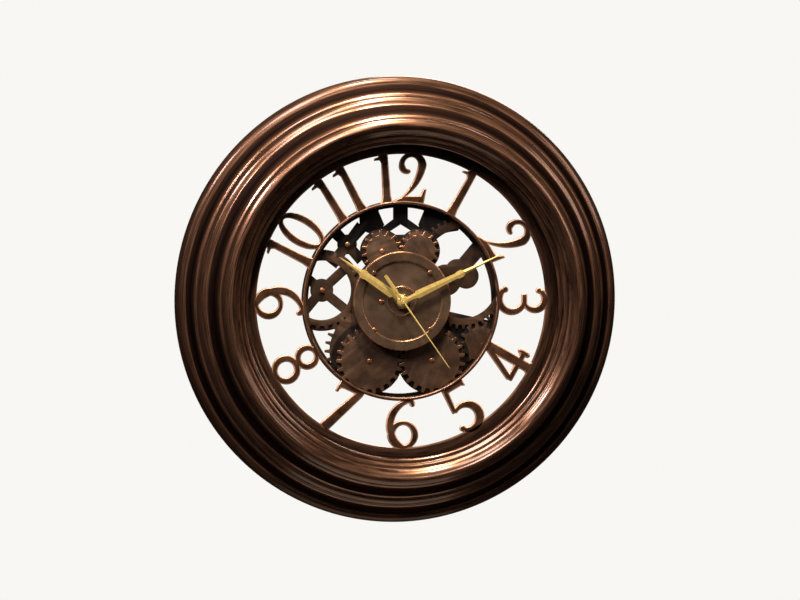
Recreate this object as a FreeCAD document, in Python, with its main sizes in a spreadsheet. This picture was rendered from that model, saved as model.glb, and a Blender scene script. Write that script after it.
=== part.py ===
import FreeCAD, Part
import math
import os
import Sketcher

# A round wall clock with a stepped, moulded case ring, a flat glass, a dial that is cut right
# through (numerals between two rings), a relief of gear wheels round a raised centre disc, and a
# battery movement with its whole train behind the disc.
#
# X points to the viewer's right, Z up, and the front faces -Y. The origin is on the hands' axis
# in the plane of the wall. "Depth" means the distance from the wall towards the viewer.

Vector = FreeCAD.Vector
doc = FreeCAD.newDocument("gear_wall_clock")

# Driving dimensions in millimetres
LENGTHS = [
    # Case ring
    ("case_radius", 203.0),
    ("ring_width", 61.0),
    ("crest_rise", 12.0),
    ("case_wall", 3.0),
    ("rib_thickness", 2.4),
    ("rib_reach", 4.0),
    ("rib_clearance", 0.3),
    ("skirt_wall", 2.6),
    ("boss_radius", 4.0),
    # Glass
    ("glass_rebate", 7.6),
    ("glass_thickness", 2.0),
    ("glass_play", 0.4),
    ("hand_clearance", 2.7),
    # Dial
    ("dial_rise", 9.5),
    ("dial_thickness", 3.0),
    ("dial_margin", 18.0),
    ("dial_screw_inset", 4.0),
    ("dial_reveal", 9.0),
    ("numeral_bite", 1.9),
    ("numeral_reach", 42.3),
    ("chapter_wall", 3.1),
    ("chapter_rise", 1.1),
    # Gear plate with its relief
    ("plate_lap", 0.9),
    ("plate_thickness", 2.0),
    ("relief_thickness", 1.5),
    ("plate_flange", 5.4),
    ("wheel_rise", 3.0),
    ("floor_clearance", 0.2),
    # Centre disc
    ("disc_lap", 5.4),
    ("disc_rise", 9.0),
    ("disc_rim_width", 9.2),
    ("disc_floor_step", 1.4),
    ("disc_rim_clearance", 0.3),
    # Wall hanger
    ("hanger_width", 40.0),
    ("hanger_height", 20.0),
    ("hanger_thickness", 1.2),
    ("hanger_back_depth", 4.0),
    ("hanger_inset", 17.0),
    ("hanger_rib_spacing", 28.0),
    ("hanger_rib_thickness", 3.0),
    ("keyhole_radius", 4.5),
    ("keyhole_slot_width", 3.6),
    ("keyhole_slot_rise", 7.5),
    ("keyhole_drop", 3.0),
    # Movement housing
    ("bay_margin", 3.4),
    ("movement_back_depth", 1.5),
    ("movement_thickness", 16.0),
    ("movement_cover", 1.5),
    ("movement_wall", 1.4),
    ("bay_height", 14.8),
    ("bay_sill", 1.0),
    ("partition", 1.0),
    ("partition_gap", 1.0),
    ("bushing_radius", 3.9),
    ("bushing_clearance", 0.1),
    ("bushing_tip", 0.4),
    ("nut_across_flats", 13.0),
    ("nut_thickness", 3.6),
    ("socket_radius", 1.5),
    ("socket_end_play", 0.3),
    ("bearing_clearance", 0.05),
    ("pivot_radius", 0.4),
    ("pivot_length", 1.2),
    ("post_radius", 1.5),
    ("mid_plate_back_depth", 7.9),
    ("mid_plate_thickness", 0.8),
    # Train
    ("wheel_thickness", 0.8),
    ("pinion_overhang", 0.3),
    ("first_module", 0.5),
    ("third_arbor_distance", 11.34),
    ("motion_arbor_distance", 9.0),
    ("rotor_pinion_back_depth", 4.4),
    ("intermediate_back_depth", 4.7),
    ("second_wheel_back_depth", 6.3),
    ("third_wheel_back_depth", 9.2),
    ("centre_wheel_back_depth", 11.0),
    ("minute_wheel_back_depth", 12.9),
    ("hour_wheel_back_depth", 14.6),
    ("magnet_radius", 2.6),
    ("magnet_length", 2.0),
    ("magnet_back_depth", 9.3),
    ("second_arbor_radius", 0.5),
    ("minute_tube_radius", 1.6),
    ("hour_pipe_radius", 2.5),
    ("stud_radius", 0.8),
    ("knob_radius", 4.4),
    ("knob_thickness", 2.0),
    ("knob_recess_play", 0.6),
    ("knob_cup_wall", 0.6),
    ("knob_stem_radius", 1.0),
    # Motor and circuit
    ("stator_thickness", 1.0),
    ("stator_back_depth", 9.8),
    ("stator_width", 20.4),
    ("stator_arm", 2.8),
    ("stator_foot", 8.4),
    ("stator_height", 15.8),
    ("rotor_gap", 0.5),
    ("core_width", 2.0),
    ("core_thickness", 0.9),
    ("core_play", 0.05),
    ("coil_radius", 3.0),
    ("bobbin_radius", 3.4),
    ("bobbin_flange", 0.8),
    ("bobbin_length", 14.0),
    ("board_width", 15.6),
    ("board_height", 8.2),
    ("board_thickness", 1.0),
    ("board_back_depth", 9.0),
    ("chip_side", 3.6),
    ("chip_height", 0.8),
    ("crystal_radius", 1.0),
    ("crystal_length", 6.0),
    # Battery and its contacts
    ("cell_radius", 7.15),
    ("cell_length", 49.2),
    ("cell_nub_radius", 2.7),
    ("cell_nub_length", 1.1),
    ("cell_play", 0.1),
    ("contact_thickness", 0.3),
    ("contact_width", 2.0),
    ("blade_width", 8.0),
    ("spring_reach", 1.9),
    # Hands
    ("hour_hand_length", 71.0),
    ("minute_hand_length", 100.0),
    ("second_hand_length", 75.0),
    ("second_tail_length", 29.0),
    ("hour_hub_radius", 5.4),
    ("minute_hub_radius", 4.2),
    ("second_hub_radius", 2.4),
    ("hand_thickness", 1.0),
    ("second_hand_thickness", 0.6),
    ("hand_gap", 0.7),
    ("pipe_tip", 0.2),
]

# Counts, angles and shares, which keep their value at every size
rib_count = 6
boss_count = 4
thumb_ribs = 14
nut_sides = 6
winding_sides = 8
disc_hub_share = 0.267
half_diagonal_share = math.sqrt(0.5)
first_rib_angle = 0.0
first_boss_angle = 45.0

# Teeth as shares: reach beyond the pitch circle and depth below it in modules, then the half
# widths of tip and root in pitch angles
leaf_shares = (0.75, 1.05, 0.0, 0.30)
wheel_shares = (0.85, 1.15, 0.0, 0.50)
relief_shares = (0.75, 1.05, 0.13, 0.25)

rotor_leaves = 6
intermediate_teeth = 30
intermediate_leaves = 6
second_teeth = 36
second_leaves = 6
third_teeth = 45
third_leaves = 6
centre_teeth = 48
cannon_leaves = 8
minute_teeth = 24
minute_leaves = 8
hour_teeth = 32
knob_leaves = 8

intermediate_direction = 35.0
rotor_direction = 62.0
third_direction = 145.0
minute_wheel_direction = 90.0

# Where the hands point, in degrees clockwise from twelve: about ten past ten
hour_hand_angle = 304.8
minute_hand_angle = 65.2
second_hand_angle = 145.1


class Size:
    """A length: its number in millimetres and the sheet formula that gives it."""

    def __init__(self, number, formula):
        self.number = number
        self.formula = formula

    def __add__(self, other):
        return joined(self, "+", other, self.number + number_of(other))

    def __radd__(self, other):
        return joined(other, "+", self, number_of(other) + self.number)

    def __sub__(self, other):
        return joined(self, "-", other, self.number - number_of(other))

    def __rsub__(self, other):
        return joined(other, "-", self, number_of(other) - self.number)

    def __mul__(self, other):
        return joined(self, "*", other, self.number * number_of(other))

    def __rmul__(self, other):
        return joined(other, "*", self, number_of(other) * self.number)

    def __truediv__(self, other):
        return joined(self, "/", other, self.number / number_of(other))

    def __neg__(self):
        return Size(-self.number, "(-1 * %s)" % self.formula)


def number_of(value):
    return value.number if isinstance(value, Size) else float(value)


def formula_of(value):
    return value.formula if isinstance(value, Size) else repr(float(value))


def joined(first, sign, second, number):
    return Size(number, "(%s %s %s)" % (formula_of(first), sign, formula_of(second)))


def length_between(across, along):
    number = math.hypot(number_of(across), number_of(along))
    return Size(number, "sqrt(%s ^ 2 + %s ^ 2)" % (formula_of(across), formula_of(along)))


class Sheet:
    """The spreadsheet's named cells, read as lengths."""

    def __init__(self, rows):
        self.cells = doc.addObject("Spreadsheet::Sheet", "Sizes")
        for row, (name, value) in enumerate(rows, start=1):
            self.cells.set("A%d" % row, name)
            self.cells.set("B%d" % row, str(value))
            self.cells.setAlias("B%d" % row, name)
        doc.recompute()
        self.filled = len(rows)

    def __getattr__(self, name):
        return Size(float(self.cells.get(name)), "Sizes." + name)

    def keep(self, name, length):
        """Name one more cell, for a length that follows from others."""
        self.filled += 1
        self.cells.set("A%d" % self.filled, name)
        self.cells.set("B%d" % self.filled, "=" + length.formula.replace("Sizes.", ""))
        self.cells.setAlias("B%d" % self.filled, name)
        doc.recompute()


size = Sheet(LENGTHS)
size.keep("movement_side", size.cell_length + 2 * size.bay_margin)
size.keep("lip_radius", size.case_radius - size.ring_width)
size.keep("glass_radius", size.lip_radius + size.glass_rebate)
size.keep("dial_radius", size.lip_radius + size.dial_margin)
size.keep("dial_opening_radius", size.lip_radius - size.dial_reveal)
size.keep("dial_screw_circle_radius", size.dial_radius - size.dial_screw_inset)
size.keep("chapter_radius", size.dial_opening_radius - size.numeral_reach)
size.keep("plate_radius", size.chapter_radius - size.plate_lap)
size.keep("disc_radius", size.movement_side * half_diagonal_share + size.disc_lap)
size.keep("disc_floor_radius", size.disc_radius - size.disc_rim_width)
size.keep("disc_hub_radius", size.plate_radius * disc_hub_share)
size.keep("hanger_place", size.case_radius - size.hanger_inset)


# Helpers for bodies and sketches
def tie(target, path, length):
    """Bind one property to its formula in the sheet."""
    target.setExpression(path, formula_of(length))


def new_body(name):
    body = doc.addObject("PartDesign::Body", name)
    body.Label = name
    return body


def sketch_on(body, role, offset=None, turn=0.0):
    """A sketch on one of the body's own planes, moved out along its normal and turned about it."""
    plane = next(item for item in body.Origin.OriginFeatures if item.Role == role)
    sketch = body.newObject("Sketcher::SketchObject", body.Name + "_outline")
    sketch.AttachmentSupport = [(plane, "")]
    sketch.MapMode = "FlatFace"
    axis = Vector(0, 1, 0) if role == "XY_Plane" else Vector(0, 0, 1)
    sketch.AttachmentOffset = FreeCAD.Placement(Vector(0, 0, 0), FreeCAD.Rotation(axis, turn))
    if offset is not None:
        tie(sketch, ".AttachmentOffset.Base.z", offset)
    return sketch


def hold(sketch, edge, end, kind, value):
    """Fix one coordinate of an edge's end to its formula."""
    if number_of(value) == 0:
        line = -2 if kind == "DistanceX" else -1
        sketch.addConstraint(Sketcher.Constraint("PointOnObject", edge, end, line))
        return
    index = sketch.addConstraint(Sketcher.Constraint(kind, -1, 1, edge, end, number_of(value)))
    tie(sketch, "Constraints[%d]" % index, value)


def draw_circle(sketch, x, y, radius):
    centre = Vector(number_of(x), number_of(y), 0)
    edge = sketch.addGeometry(Part.Circle(centre, Vector(0, 0, 1), number_of(radius)), False)
    index = sketch.addConstraint(Sketcher.Constraint("Radius", edge, number_of(radius)))
    tie(sketch, "Constraints[%d]" % index, radius)
    hold(sketch, edge, 3, "DistanceX", x)
    hold(sketch, edge, 3, "DistanceY", y)


def bulged_middle(start, end, bulge):
    """The middle of an arc that stands out to the left of its chord by a share of the chord."""
    chord = end - start
    return (start + end) * 0.5 + Vector(-chord.y, chord.x, 0) * bulge


def draw_outline(sketch, corners):
    """A closed outline of corners (x, y) or (x, y, bulge of the stretch that follows)."""
    count = len(corners)
    ends = []
    for index, corner in enumerate(corners):
        after = corners[(index + 1) % count]
        start = Vector(number_of(corner[0]), number_of(corner[1]), 0)
        end = Vector(number_of(after[0]), number_of(after[1]), 0)
        bulge = corner[2] if len(corner) > 2 else 0
        if bulge:
            arc = Part.Arc(start, bulged_middle(start, end, bulge), end)
            edge = sketch.addGeometry(arc, False)
            first = sketch.getPoint(edge, 1)
            flipped = first.distanceToPoint(start) > first.distanceToPoint(end)
            ends.append((edge, 2, 1) if flipped else (edge, 1, 2))
            chord = length_between(after[0] - corner[0], after[1] - corner[1])
            radius = chord * (1 / (8 * abs(bulge)) + abs(bulge) / 2)
            number = sketch.addConstraint(Sketcher.Constraint("Radius", edge, radius.number))
            tie(sketch, "Constraints[%d]" % number, radius)
        else:
            edge = sketch.addGeometry(Part.LineSegment(start, end), False)
            ends.append((edge, 1, 2))
    for index in range(count):
        edge, first, last = ends[index]
        following = ends[(index + 1) % count]
        sketch.addConstraint(Sketcher.Constraint("Coincident", edge, last, following[0], following[1]))
        hold(sketch, edge, first, "DistanceX", corners[index][0])
        hold(sketch, edge, first, "DistanceY", corners[index][1])


def draw_rectangle(sketch, left, bottom, right, top):
    draw_outline(sketch, [(left, bottom), (right, bottom), (right, top), (left, top)])


def pad(body, sketch, length, reversed_side=False, midplane=False):
    feature = body.newObject("PartDesign::Pad", sketch.Name + "_pad")
    feature.Profile = sketch
    tie(feature, "Length", length)
    feature.Reversed = reversed_side
    feature.Midplane = midplane
    doc.recompute()
    return feature


def pocket(body, sketch, length, reversed_side=False):
    """Cut a sketch into the body. The volume must fall, or the cut points the wrong way."""
    before = body.Shape.Volume
    feature = body.newObject("PartDesign::Pocket", sketch.Name + "_pocket")
    feature.Profile = sketch
    tie(feature, "Length", length)
    feature.Reversed = reversed_side
    doc.recompute()
    if not body.Shape.Volume < before:
        raise ValueError("%s: %s removed nothing" % (body.Label, sketch.Name))
    return feature


def revolve(body, sketch, axis="V_Axis"):
    feature = body.newObject("PartDesign::Revolution", sketch.Name + "_revolution")
    feature.Profile = sketch
    feature.ReferenceAxis = (sketch, [axis])
    feature.Angle = 360.0
    doc.recompute()
    return feature


def repeat_round(body, feature, axis_sketch, count):
    """Copies of a feature round the hands' axis."""
    pattern = body.newObject("PartDesign::PolarPattern", feature.Name + "_pattern")
    pattern.Originals = [feature]
    pattern.Axis = (axis_sketch, ["N_Axis"])
    pattern.Angle = 360.0
    pattern.Occurrences = count
    body.Tip = pattern
    doc.recompute()
    return pattern


def turned(distance, degrees):
    """The two coordinates of a place at a distance and an angle from the hands' axis."""
    angle = math.radians(degrees)
    return distance * math.cos(angle), distance * math.sin(angle)


# Helpers for shapes that no sketch feature fits: x to the right, y up, z towards the viewer
def to_wall_frame():
    """Stands a flat drawing up: its y becomes Z and its thickness points to the viewer."""
    return FreeCAD.Placement(Vector(0, 0, 0), FreeCAD.Rotation(Vector(1, 0, 0), 90))


def add_shape(name, shape):
    feature = doc.addObject("Part::Feature", name)
    feature.Label = name
    feature.Shape = shape
    feature.Placement = to_wall_frame().multiply(shape.Placement)
    return feature


def fused(shapes):
    return shapes[0].multiFuse(shapes[1:]).removeSplitter() if len(shapes) > 1 else shapes[0]


def prism(points, back, front):
    """A straight-sided solid between two depths."""
    corners = [Vector(x, y, back) for x, y in points]
    face = Part.Face(Part.makePolygon(corners + corners[:1]))
    return face.extrude(Vector(0, 0, front - back))


def disc(x, y, radius, back, front):
    return Part.makeCylinder(radius, front - back, Vector(x, y, back), Vector(0, 0, 1))


def bar(start, end, start_width, end_width, back, front):
    """A straight tapered bar between two places."""
    along = Vector(end[0] - start[0], end[1] - start[1], 0).normalize()
    side = Vector(-along.y, along.x, 0)
    points = []
    for place, half in ((start, start_width / 2), (end, -end_width / 2)):
        points.append((place[0] + side.x * half, place[1] + side.y * half))
        points.append((place[0] - side.x * half, place[1] - side.y * half))
    return prism(points, back, front)


def tooth_points(teeth, pitch_radius, module, shares, phase=0.0, x=0.0, y=0.0):
    """The corners of a toothed outline. A half width of none, or of half a pitch, is one corner."""
    pitch = 2 * math.pi / teeth
    reach, depth, tip_half, root_half = shares
    root = pitch_radius - depth * module
    tip = pitch_radius + reach * module
    steps = [(root, -root_half)]
    steps += [(tip, -tip_half), (tip, tip_half)] if tip_half else [(tip, 0)]
    steps += [(root, root_half)] if root_half < 0.5 else []
    points = []
    for index in range(teeth):
        for radius, share in steps:
            angle = phase + (index + share) * pitch
            points.append((x + radius * math.cos(angle), y + radius * math.sin(angle)))
    return points


# Depths and places that several pieces share
plate_back = size.movement_back_depth + size.movement_thickness
plate_front = plate_back + size.plate_thickness
relief_front = plate_front + size.relief_thickness
wheel_front = relief_front + size.wheel_rise
size.keep("disc_front_depth", wheel_front + size.disc_rise)
size.keep("dial_front_depth", plate_front + size.dial_rise)
dial_back = size.dial_front_depth - size.dial_thickness
chapter_front = size.dial_front_depth + size.chapter_rise
seat_radius = size.glass_radius + size.glass_play
skirt_radius = seat_radius + size.skirt_wall
disc_floor_depth = size.disc_front_depth - size.disc_floor_step
nut_front = disc_floor_depth + size.nut_thickness
bushing_front = nut_front + size.bushing_tip
hour_hand_back = bushing_front + size.hand_gap
hour_hand_front = hour_hand_back + size.hand_thickness
minute_hand_back = hour_hand_front + size.hand_gap
minute_hand_front = minute_hand_back + size.hand_thickness
second_hand_back = minute_hand_front + size.hand_gap
second_hand_front = second_hand_back + size.second_hand_thickness
glass_back = second_hand_front + size.hand_clearance
size.keep("glass_front_depth", glass_back + size.glass_thickness)
size.keep("case_depth", size.glass_front_depth + size.crest_rise)
boss_top_depth = size.glass_front_depth + 2 * size.case_wall
half_side = size.movement_side / 2
cover_front = size.movement_back_depth + size.movement_cover
chamber_front = plate_back - size.movement_cover
chamber_half = half_side - size.movement_wall
bay_bottom = size.bay_sill - half_side
bay_top = bay_bottom + size.bay_height
chamber_bottom = bay_top + size.partition
mid_plate_front = size.mid_plate_back_depth + size.mid_plate_thickness
bearing_radius = size.pivot_radius + size.bearing_clearance
second_bearing_radius = size.second_arbor_radius + size.bearing_clearance

intermediate_distance = size.first_module * (intermediate_leaves + second_teeth) / 2
rotor_distance = size.first_module * (rotor_leaves + intermediate_teeth) / 2
intermediate_place = turned(intermediate_distance, intermediate_direction)
rotor_step = turned(rotor_distance, rotor_direction)
rotor_place = (intermediate_place[0] + rotor_step[0], intermediate_place[1] + rotor_step[1])
third_place = turned(size.third_arbor_distance, third_direction)
minute_wheel_place = (0, size.motion_arbor_distance)
motion_module = 2 * size.motion_arbor_distance / (cannon_leaves + minute_teeth)
knob_distance = motion_module * (minute_teeth + knob_leaves) / 2
knob_place = (0, size.motion_arbor_distance + knob_distance)
knob_recess_radius = size.knob_radius + size.knob_recess_play
knob_front = size.movement_back_depth + size.knob_thickness
knob_cup_back = knob_front + size.socket_end_play
knob_cup_front = knob_cup_back + size.knob_cup_wall
stator_left = rotor_place[0] - size.stator_width / 2
stator_right = stator_left + size.stator_width
stator_bottom = rotor_place[1] - size.stator_foot / 2
stator_top = stator_bottom + size.stator_height
stator_front = size.stator_back_depth + size.stator_thickness
core_height = stator_top - size.bobbin_radius
core_back = size.stator_back_depth - size.core_thickness
coil_depth = size.stator_back_depth - size.core_thickness / 2
cell_depth = chamber_front - size.cell_radius - size.cell_play
board_left = size.contact_thickness - chamber_half
board_top = chamber_half - size.contact_thickness
board_front = size.board_back_depth + size.board_thickness

# Case ring: corners of the front mouldings from the wall to the lip, as shares of the ring's
# width (from the lip outwards) and of its depth. A third share swells the stretch that follows:
# its middle corner stands out by that share of the chord.
case_skin_shares = [
    (1.0, 0.0),
    (1.0, 0.105, 0.2),
    (0.885, 0.245),
    (0.754, 0.386),
    (0.713, 0.439, 0.18),
    (0.590, 0.570),
    (0.434, 0.737),
    (0.402, 0.798, 0.18),
    (0.303, 0.995),
    (0.221, 0.974),
    (0.156, 0.877),
    (0.0, 0.825),
]
# The hollow behind them follows some of those corners, moved inwards and back by shares of the wall
case_hollow_shares = [
    (10, 0.0, -0.7),
    (8, 0.0, -2.0),
    (6, -0.8, -0.7),
    (1, -1.0, -1.0),
]


def case_corner(index):
    across, forward = case_skin_shares[index][:2]
    radius = size.lip_radius + across * (size.case_radius - size.lip_radius)
    return radius, forward * size.case_depth


def case_skin():
    """The front outline, with the middle corner of every swelling."""
    corners = []
    for index, shares in enumerate(case_skin_shares):
        radius, depth = case_corner(index)
        corners.append((radius, -depth))
        if len(shares) > 2:
            after, deeper = case_corner(index + 1)
            middle = (radius + after) / 2 + (deeper - depth) * shares[2]
            corners.append((middle, -((depth + deeper) / 2 - (after - radius) * shares[2])))
    return corners


def case_hollow(wall_share, inner):
    """The hollow's outline, or a line deeper in the wall that ribs are drawn to."""
    corners = []
    for index, inward, back in case_hollow_shares:
        radius, depth = case_corner(index)
        radius = inner if index == 10 else radius + inward * wall_share * size.case_wall
        corners.append((radius, -(depth + back * wall_share * size.case_wall)))
    return corners


def build_case():
    body = new_body("case_ring")
    profile = sketch_on(body, "XY_Plane")
    corners = case_skin()
    corners.append((size.lip_radius, -size.glass_front_depth))
    corners.append((seat_radius, -size.glass_front_depth))
    corners.append((seat_radius, -size.dial_front_depth))
    corners.append((skirt_radius, -size.dial_front_depth))
    corners += case_hollow(1, skirt_radius)
    corners.append((size.case_radius - size.case_wall, 0))
    draw_outline(profile, corners)
    revolve(body, profile)

    # Stiffening ribs inside the hollow, drawn half way into the wall
    rib = sketch_on(body, "XY_Plane", turn=first_rib_angle)
    rib_back = size.dial_front_depth + size.rib_clearance
    inner = seat_radius + size.skirt_wall / 2
    rib_corners = [(size.dial_radius + size.case_wall, -rib_back), (inner, -rib_back)]
    rib_corners += case_hollow(0.5, inner)
    rib_corners.append((size.case_radius - size.case_wall / 2, -size.rib_reach))
    draw_outline(rib, rib_corners)
    rib_pad = pad(body, rib, size.rib_thickness, midplane=True)
    boss_sketch = sketch_on(body, "XZ_Plane", size.dial_front_depth)
    place = turned(size.dial_screw_circle_radius, first_boss_angle)
    draw_circle(boss_sketch, place[0], place[1], size.boss_radius)
    repeat_round(body, rib_pad, boss_sketch, rib_count)

    # Screw bosses that the dial rests on
    boss = pad(body, boss_sketch, boss_top_depth - size.dial_front_depth)
    repeat_round(body, boss, boss_sketch, boss_count)

    # Two upright webs that carry the hanger plate
    hanger_front = size.hanger_back_depth + size.hanger_thickness
    low = size.hanger_place - size.hanger_height / 2
    for side in (-1, 1):
        web = sketch_on(body, "YZ_Plane", side * size.hanger_rib_spacing / 2)
        web_corners = [(-hanger_front, low)]
        web_corners += [(depth, radius) for radius, depth in case_hollow(0.5, inner)[2:]]
        web_corners.append((-hanger_front, size.case_radius - size.case_wall))
        draw_outline(web, web_corners)
        pad(body, web, size.hanger_rib_thickness, midplane=True)
    return body


def build_glass():
    glass = doc.addObject("Part::Cylinder", "glass")
    glass.Label = "glass"
    glass.Placement = to_wall_frame()
    tie(glass, "Radius", size.glass_radius)
    tie(glass, "Height", size.glass_thickness)
    tie(glass, "Placement.Base.y", -glass_back)
    return glass


# Numerals: each stroke in shares of the numeral's height, x from its middle and y from its foot.
# A curve has an outer arc and an inner arc through three places each, so that it can swell.
digit_strokes_shares = {
    0: [("ring", (0, 0.5), (0.27, 0.5), (0, 0.5), (0.16, 0.44))],
    1: [
        (
            "poly",
            [
                (-0.16, 0),
                (0.16, 0),
                (0.10, 0.05),
                (0.085, 0.16),
                (0.065, 1),
                (-0.10, 1),
                (-0.12, 0.93),
                (-0.20, 0.91),
                (-0.22, 0.86),
                (-0.10, 0.865),
                (-0.065, 0.80),
                (-0.085, 0.16),
                (-0.10, 0.05),
            ],
        )
    ],
    2: [
        ("curve", [(-0.25, 0.74), (0.0, 1.0), (0.25, 0.76)], [(-0.17, 0.74), (-0.02, 0.92), (0.12, 0.76)]),
        ("curve", [(-0.25, 0.74), (-0.21, 0.63), (-0.08, 0.60)], [(-0.17, 0.74), (-0.16, 0.68), (-0.08, 0.66)]),
        ("ball", (-0.085, 0.635), 0.042),
        ("curve", [(0.25, 0.76), (0.17, 0.50), (-0.20, 0.09)], [(0.12, 0.76), (0.05, 0.47), (-0.31, 0.0)]),
        ("poly", [(-0.31, 0), (0.26, 0), (0.29, 0.27), (0.245, 0.27), (0.20, 0.12), (-0.20, 0.09)]),
    ],
    3: [
        ("curve", [(-0.20, 0.88), (0.19, 0.90), (0.10, 0.52)], [(-0.14, 0.84), (0.09, 0.86), (0.03, 0.56)]),
        ("ball", (-0.175, 0.83), 0.055),
        ("bar", (-0.12, 0.535), (0.08, 0.535), 0.07, 0.07),
        ("curve", [(0.08, 0.56), (0.22, 0.12), (-0.24, 0.10)], [(0.03, 0.50), (0.12, 0.16), (-0.17, 0.14)]),
        ("ball", (-0.21, 0.15), 0.06),
    ],
    4: [
        ("bar", (0.10, 0), (0.10, 1), 0.15, 0.15),
        ("poly", [(-0.06, 0), (0.26, 0), (0.17, 0.10), (0.03, 0.10)]),
        ("bar", (0.06, 0.99), (-0.27, 0.28), 0.09, 0.07),
        ("bar", (-0.30, 0.27), (0.30, 0.27), 0.075, 0.075),
        ("bar", (0.31, 0.17), (0.31, 0.37), 0.06, 0.06),
    ],
    5: [
        ("poly", [(-0.18, 0.87), (0.19, 0.87), (0.26, 0.84), (0.26, 1), (-0.16, 1)]),
        ("bar", (-0.145, 0.97), (-0.185, 0.47), 0.08, 0.06),
        ("curve", [(-0.19, 0.50), (0.27, 0.42), (-0.22, 0.06)], [(-0.16, 0.46), (0.15, 0.37), (-0.17, 0.11)]),
        ("ball", (-0.205, 0.115), 0.06),
    ],
    6: [
        ("curve", [(0.17, 0.985), (-0.29, 0.50), (0.04, 0.0)], [(0.13, 0.92), (-0.17, 0.52), (0.06, 0.06)]),
        ("ring", (0.01, 0.285), (0.285, 0.285), (0.025, 0.285), (0.18, 0.215)),
        ("curve", [(0.05, 0.93), (0.15, 0.99), (0.25, 0.91)], [(0.09, 0.91), (0.15, 0.925), (0.19, 0.88)]),
        ("ball", (0.22, 0.89), 0.045),
    ],
    7: [
        ("poly", [
            (-0.27, 1), (0.26, 1), (0.26, 0.90), (-0.13, 0.87), (-0.20, 0.85), (-0.215, 0.75), (-0.27, 0.75),
        ]),
        ("bar", (0.20, 0.97), (-0.12, 0), 0.10, 0.16),
    ],
    8: [
        ("ring", (0, 0.755), (0.23, 0.245), (0, 0.765), (0.135, 0.155)),
        ("ring", (0, 0.275), (0.275, 0.285), (0, 0.27), (0.17, 0.185)),
    ],
}
# Each hour's digits and how far along the ring each one stands, in shares of the height
numeral_places_shares = {
    1: [(1, 0.0)],
    2: [(2, 0.0)],
    3: [(3, 0.0)],
    4: [(4, 0.0)],
    5: [(5, 0.0)],
    6: [(6, 0.0)],
    7: [(7, 0.0)],
    8: [(8, 0.0)],
    9: [(9, 0.0)],
    10: [(1, -0.31), (0, 0.24)],
    11: [(1, -0.25), (1, 0.27)],
    12: [(1, -0.36), (2, 0.22)],
}
first_inward_hour = 4
last_inward_hour = 8
digit_fan_share = 0.4
# Chords that a curved stroke, a ball end and the two outlines of an oval are drawn with
curve_chord_count = 5
ball_count = 8
outer_oval_count = 16
inner_oval_count = 12


def arc_points(first, middle, last, chords=curve_chord_count):
    """Places along the arc through three places, at equal steps."""
    circle = Part.Circle(first, middle, last)
    centre = circle.Center
    start = math.atan2(first.y - centre.y, first.x - centre.x)
    sweep = math.atan2(last.y - centre.y, last.x - centre.x) - start
    halfway = math.atan2(middle.y - centre.y, middle.x - centre.x) - start
    full = 2 * math.pi
    if halfway % full > sweep % full:
        sweep = sweep % full - full
    else:
        sweep = sweep % full
    angles = [start + sweep * index / chords for index in range(chords + 1)]
    return [centre + Vector(math.cos(angle), math.sin(angle), 0) * circle.Radius for angle in angles]


def oval_points(centre, radii, corners):
    """Corners of an oval. They lie a little outside it, so that it keeps its area."""
    swell = 1 / math.sqrt(math.cos(math.pi / corners))
    angles = [2 * math.pi * (index + 0.5) / corners for index in range(corners)]
    return [
        centre + Vector(math.cos(angle) * radii[0], math.sin(angle) * radii[1], 0) * swell
        for angle in angles
    ]


def plate_of(points, thickness):
    return Part.Face(Part.makePolygon(points + points[:1])).extrude(Vector(0, 0, thickness))


def stroke_solid(stroke, height, thickness, flip):
    """One stroke of a digit as a solid. A nine is a six turned by half a turn."""

    def point(share):
        x, y = (-share[0], 1 - share[1]) if flip else share
        return Vector(x * height, y * height, 0)

    kind = stroke[0]
    if kind == "poly":
        return plate_of([point(share) for share in stroke[1]], thickness)
    if kind == "bar":
        start, end = point(stroke[1]), point(stroke[2])
        widths = (stroke[3] * height, stroke[4] * height)
        return bar((start.x, start.y), (end.x, end.y), widths[0], widths[1], 0, thickness)
    if kind == "ball":
        radius = stroke[2] * height
        return plate_of(oval_points(point(stroke[1]), (radius, radius), ball_count), thickness)
    if kind == "curve":
        outer = arc_points(*[point(share) for share in stroke[1]])
        inner = arc_points(*[point(share) for share in stroke[2]])
        return plate_of(outer + inner[::-1], thickness)
    ovals = []
    for centre_share, radii_shares, corners in (
        (stroke[1], stroke[2], outer_oval_count),
        (stroke[3], stroke[4], inner_oval_count),
    ):
        radii = [share * height for share in radii_shares]
        ovals.append(plate_of(oval_points(point(centre_share), radii, corners), thickness))
    return ovals[0].cut(ovals[1])


def digit_solid(digit, height, thickness):
    flip = digit == 9
    strokes = digit_strokes_shares[6 if flip else digit]
    return fused([stroke_solid(stroke, height, thickness, flip) for stroke in strokes])


def revolved(points):
    """A solid of revolution round the hands' axis from (radius, depth) corners."""
    corners = [Vector(radius, 0, depth) for radius, depth in points]
    face = Part.Face(Part.makePolygon(corners + corners[:1]))
    return face.revolve(Vector(0, 0, 0), Vector(0, 0, 1), 360)


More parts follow.
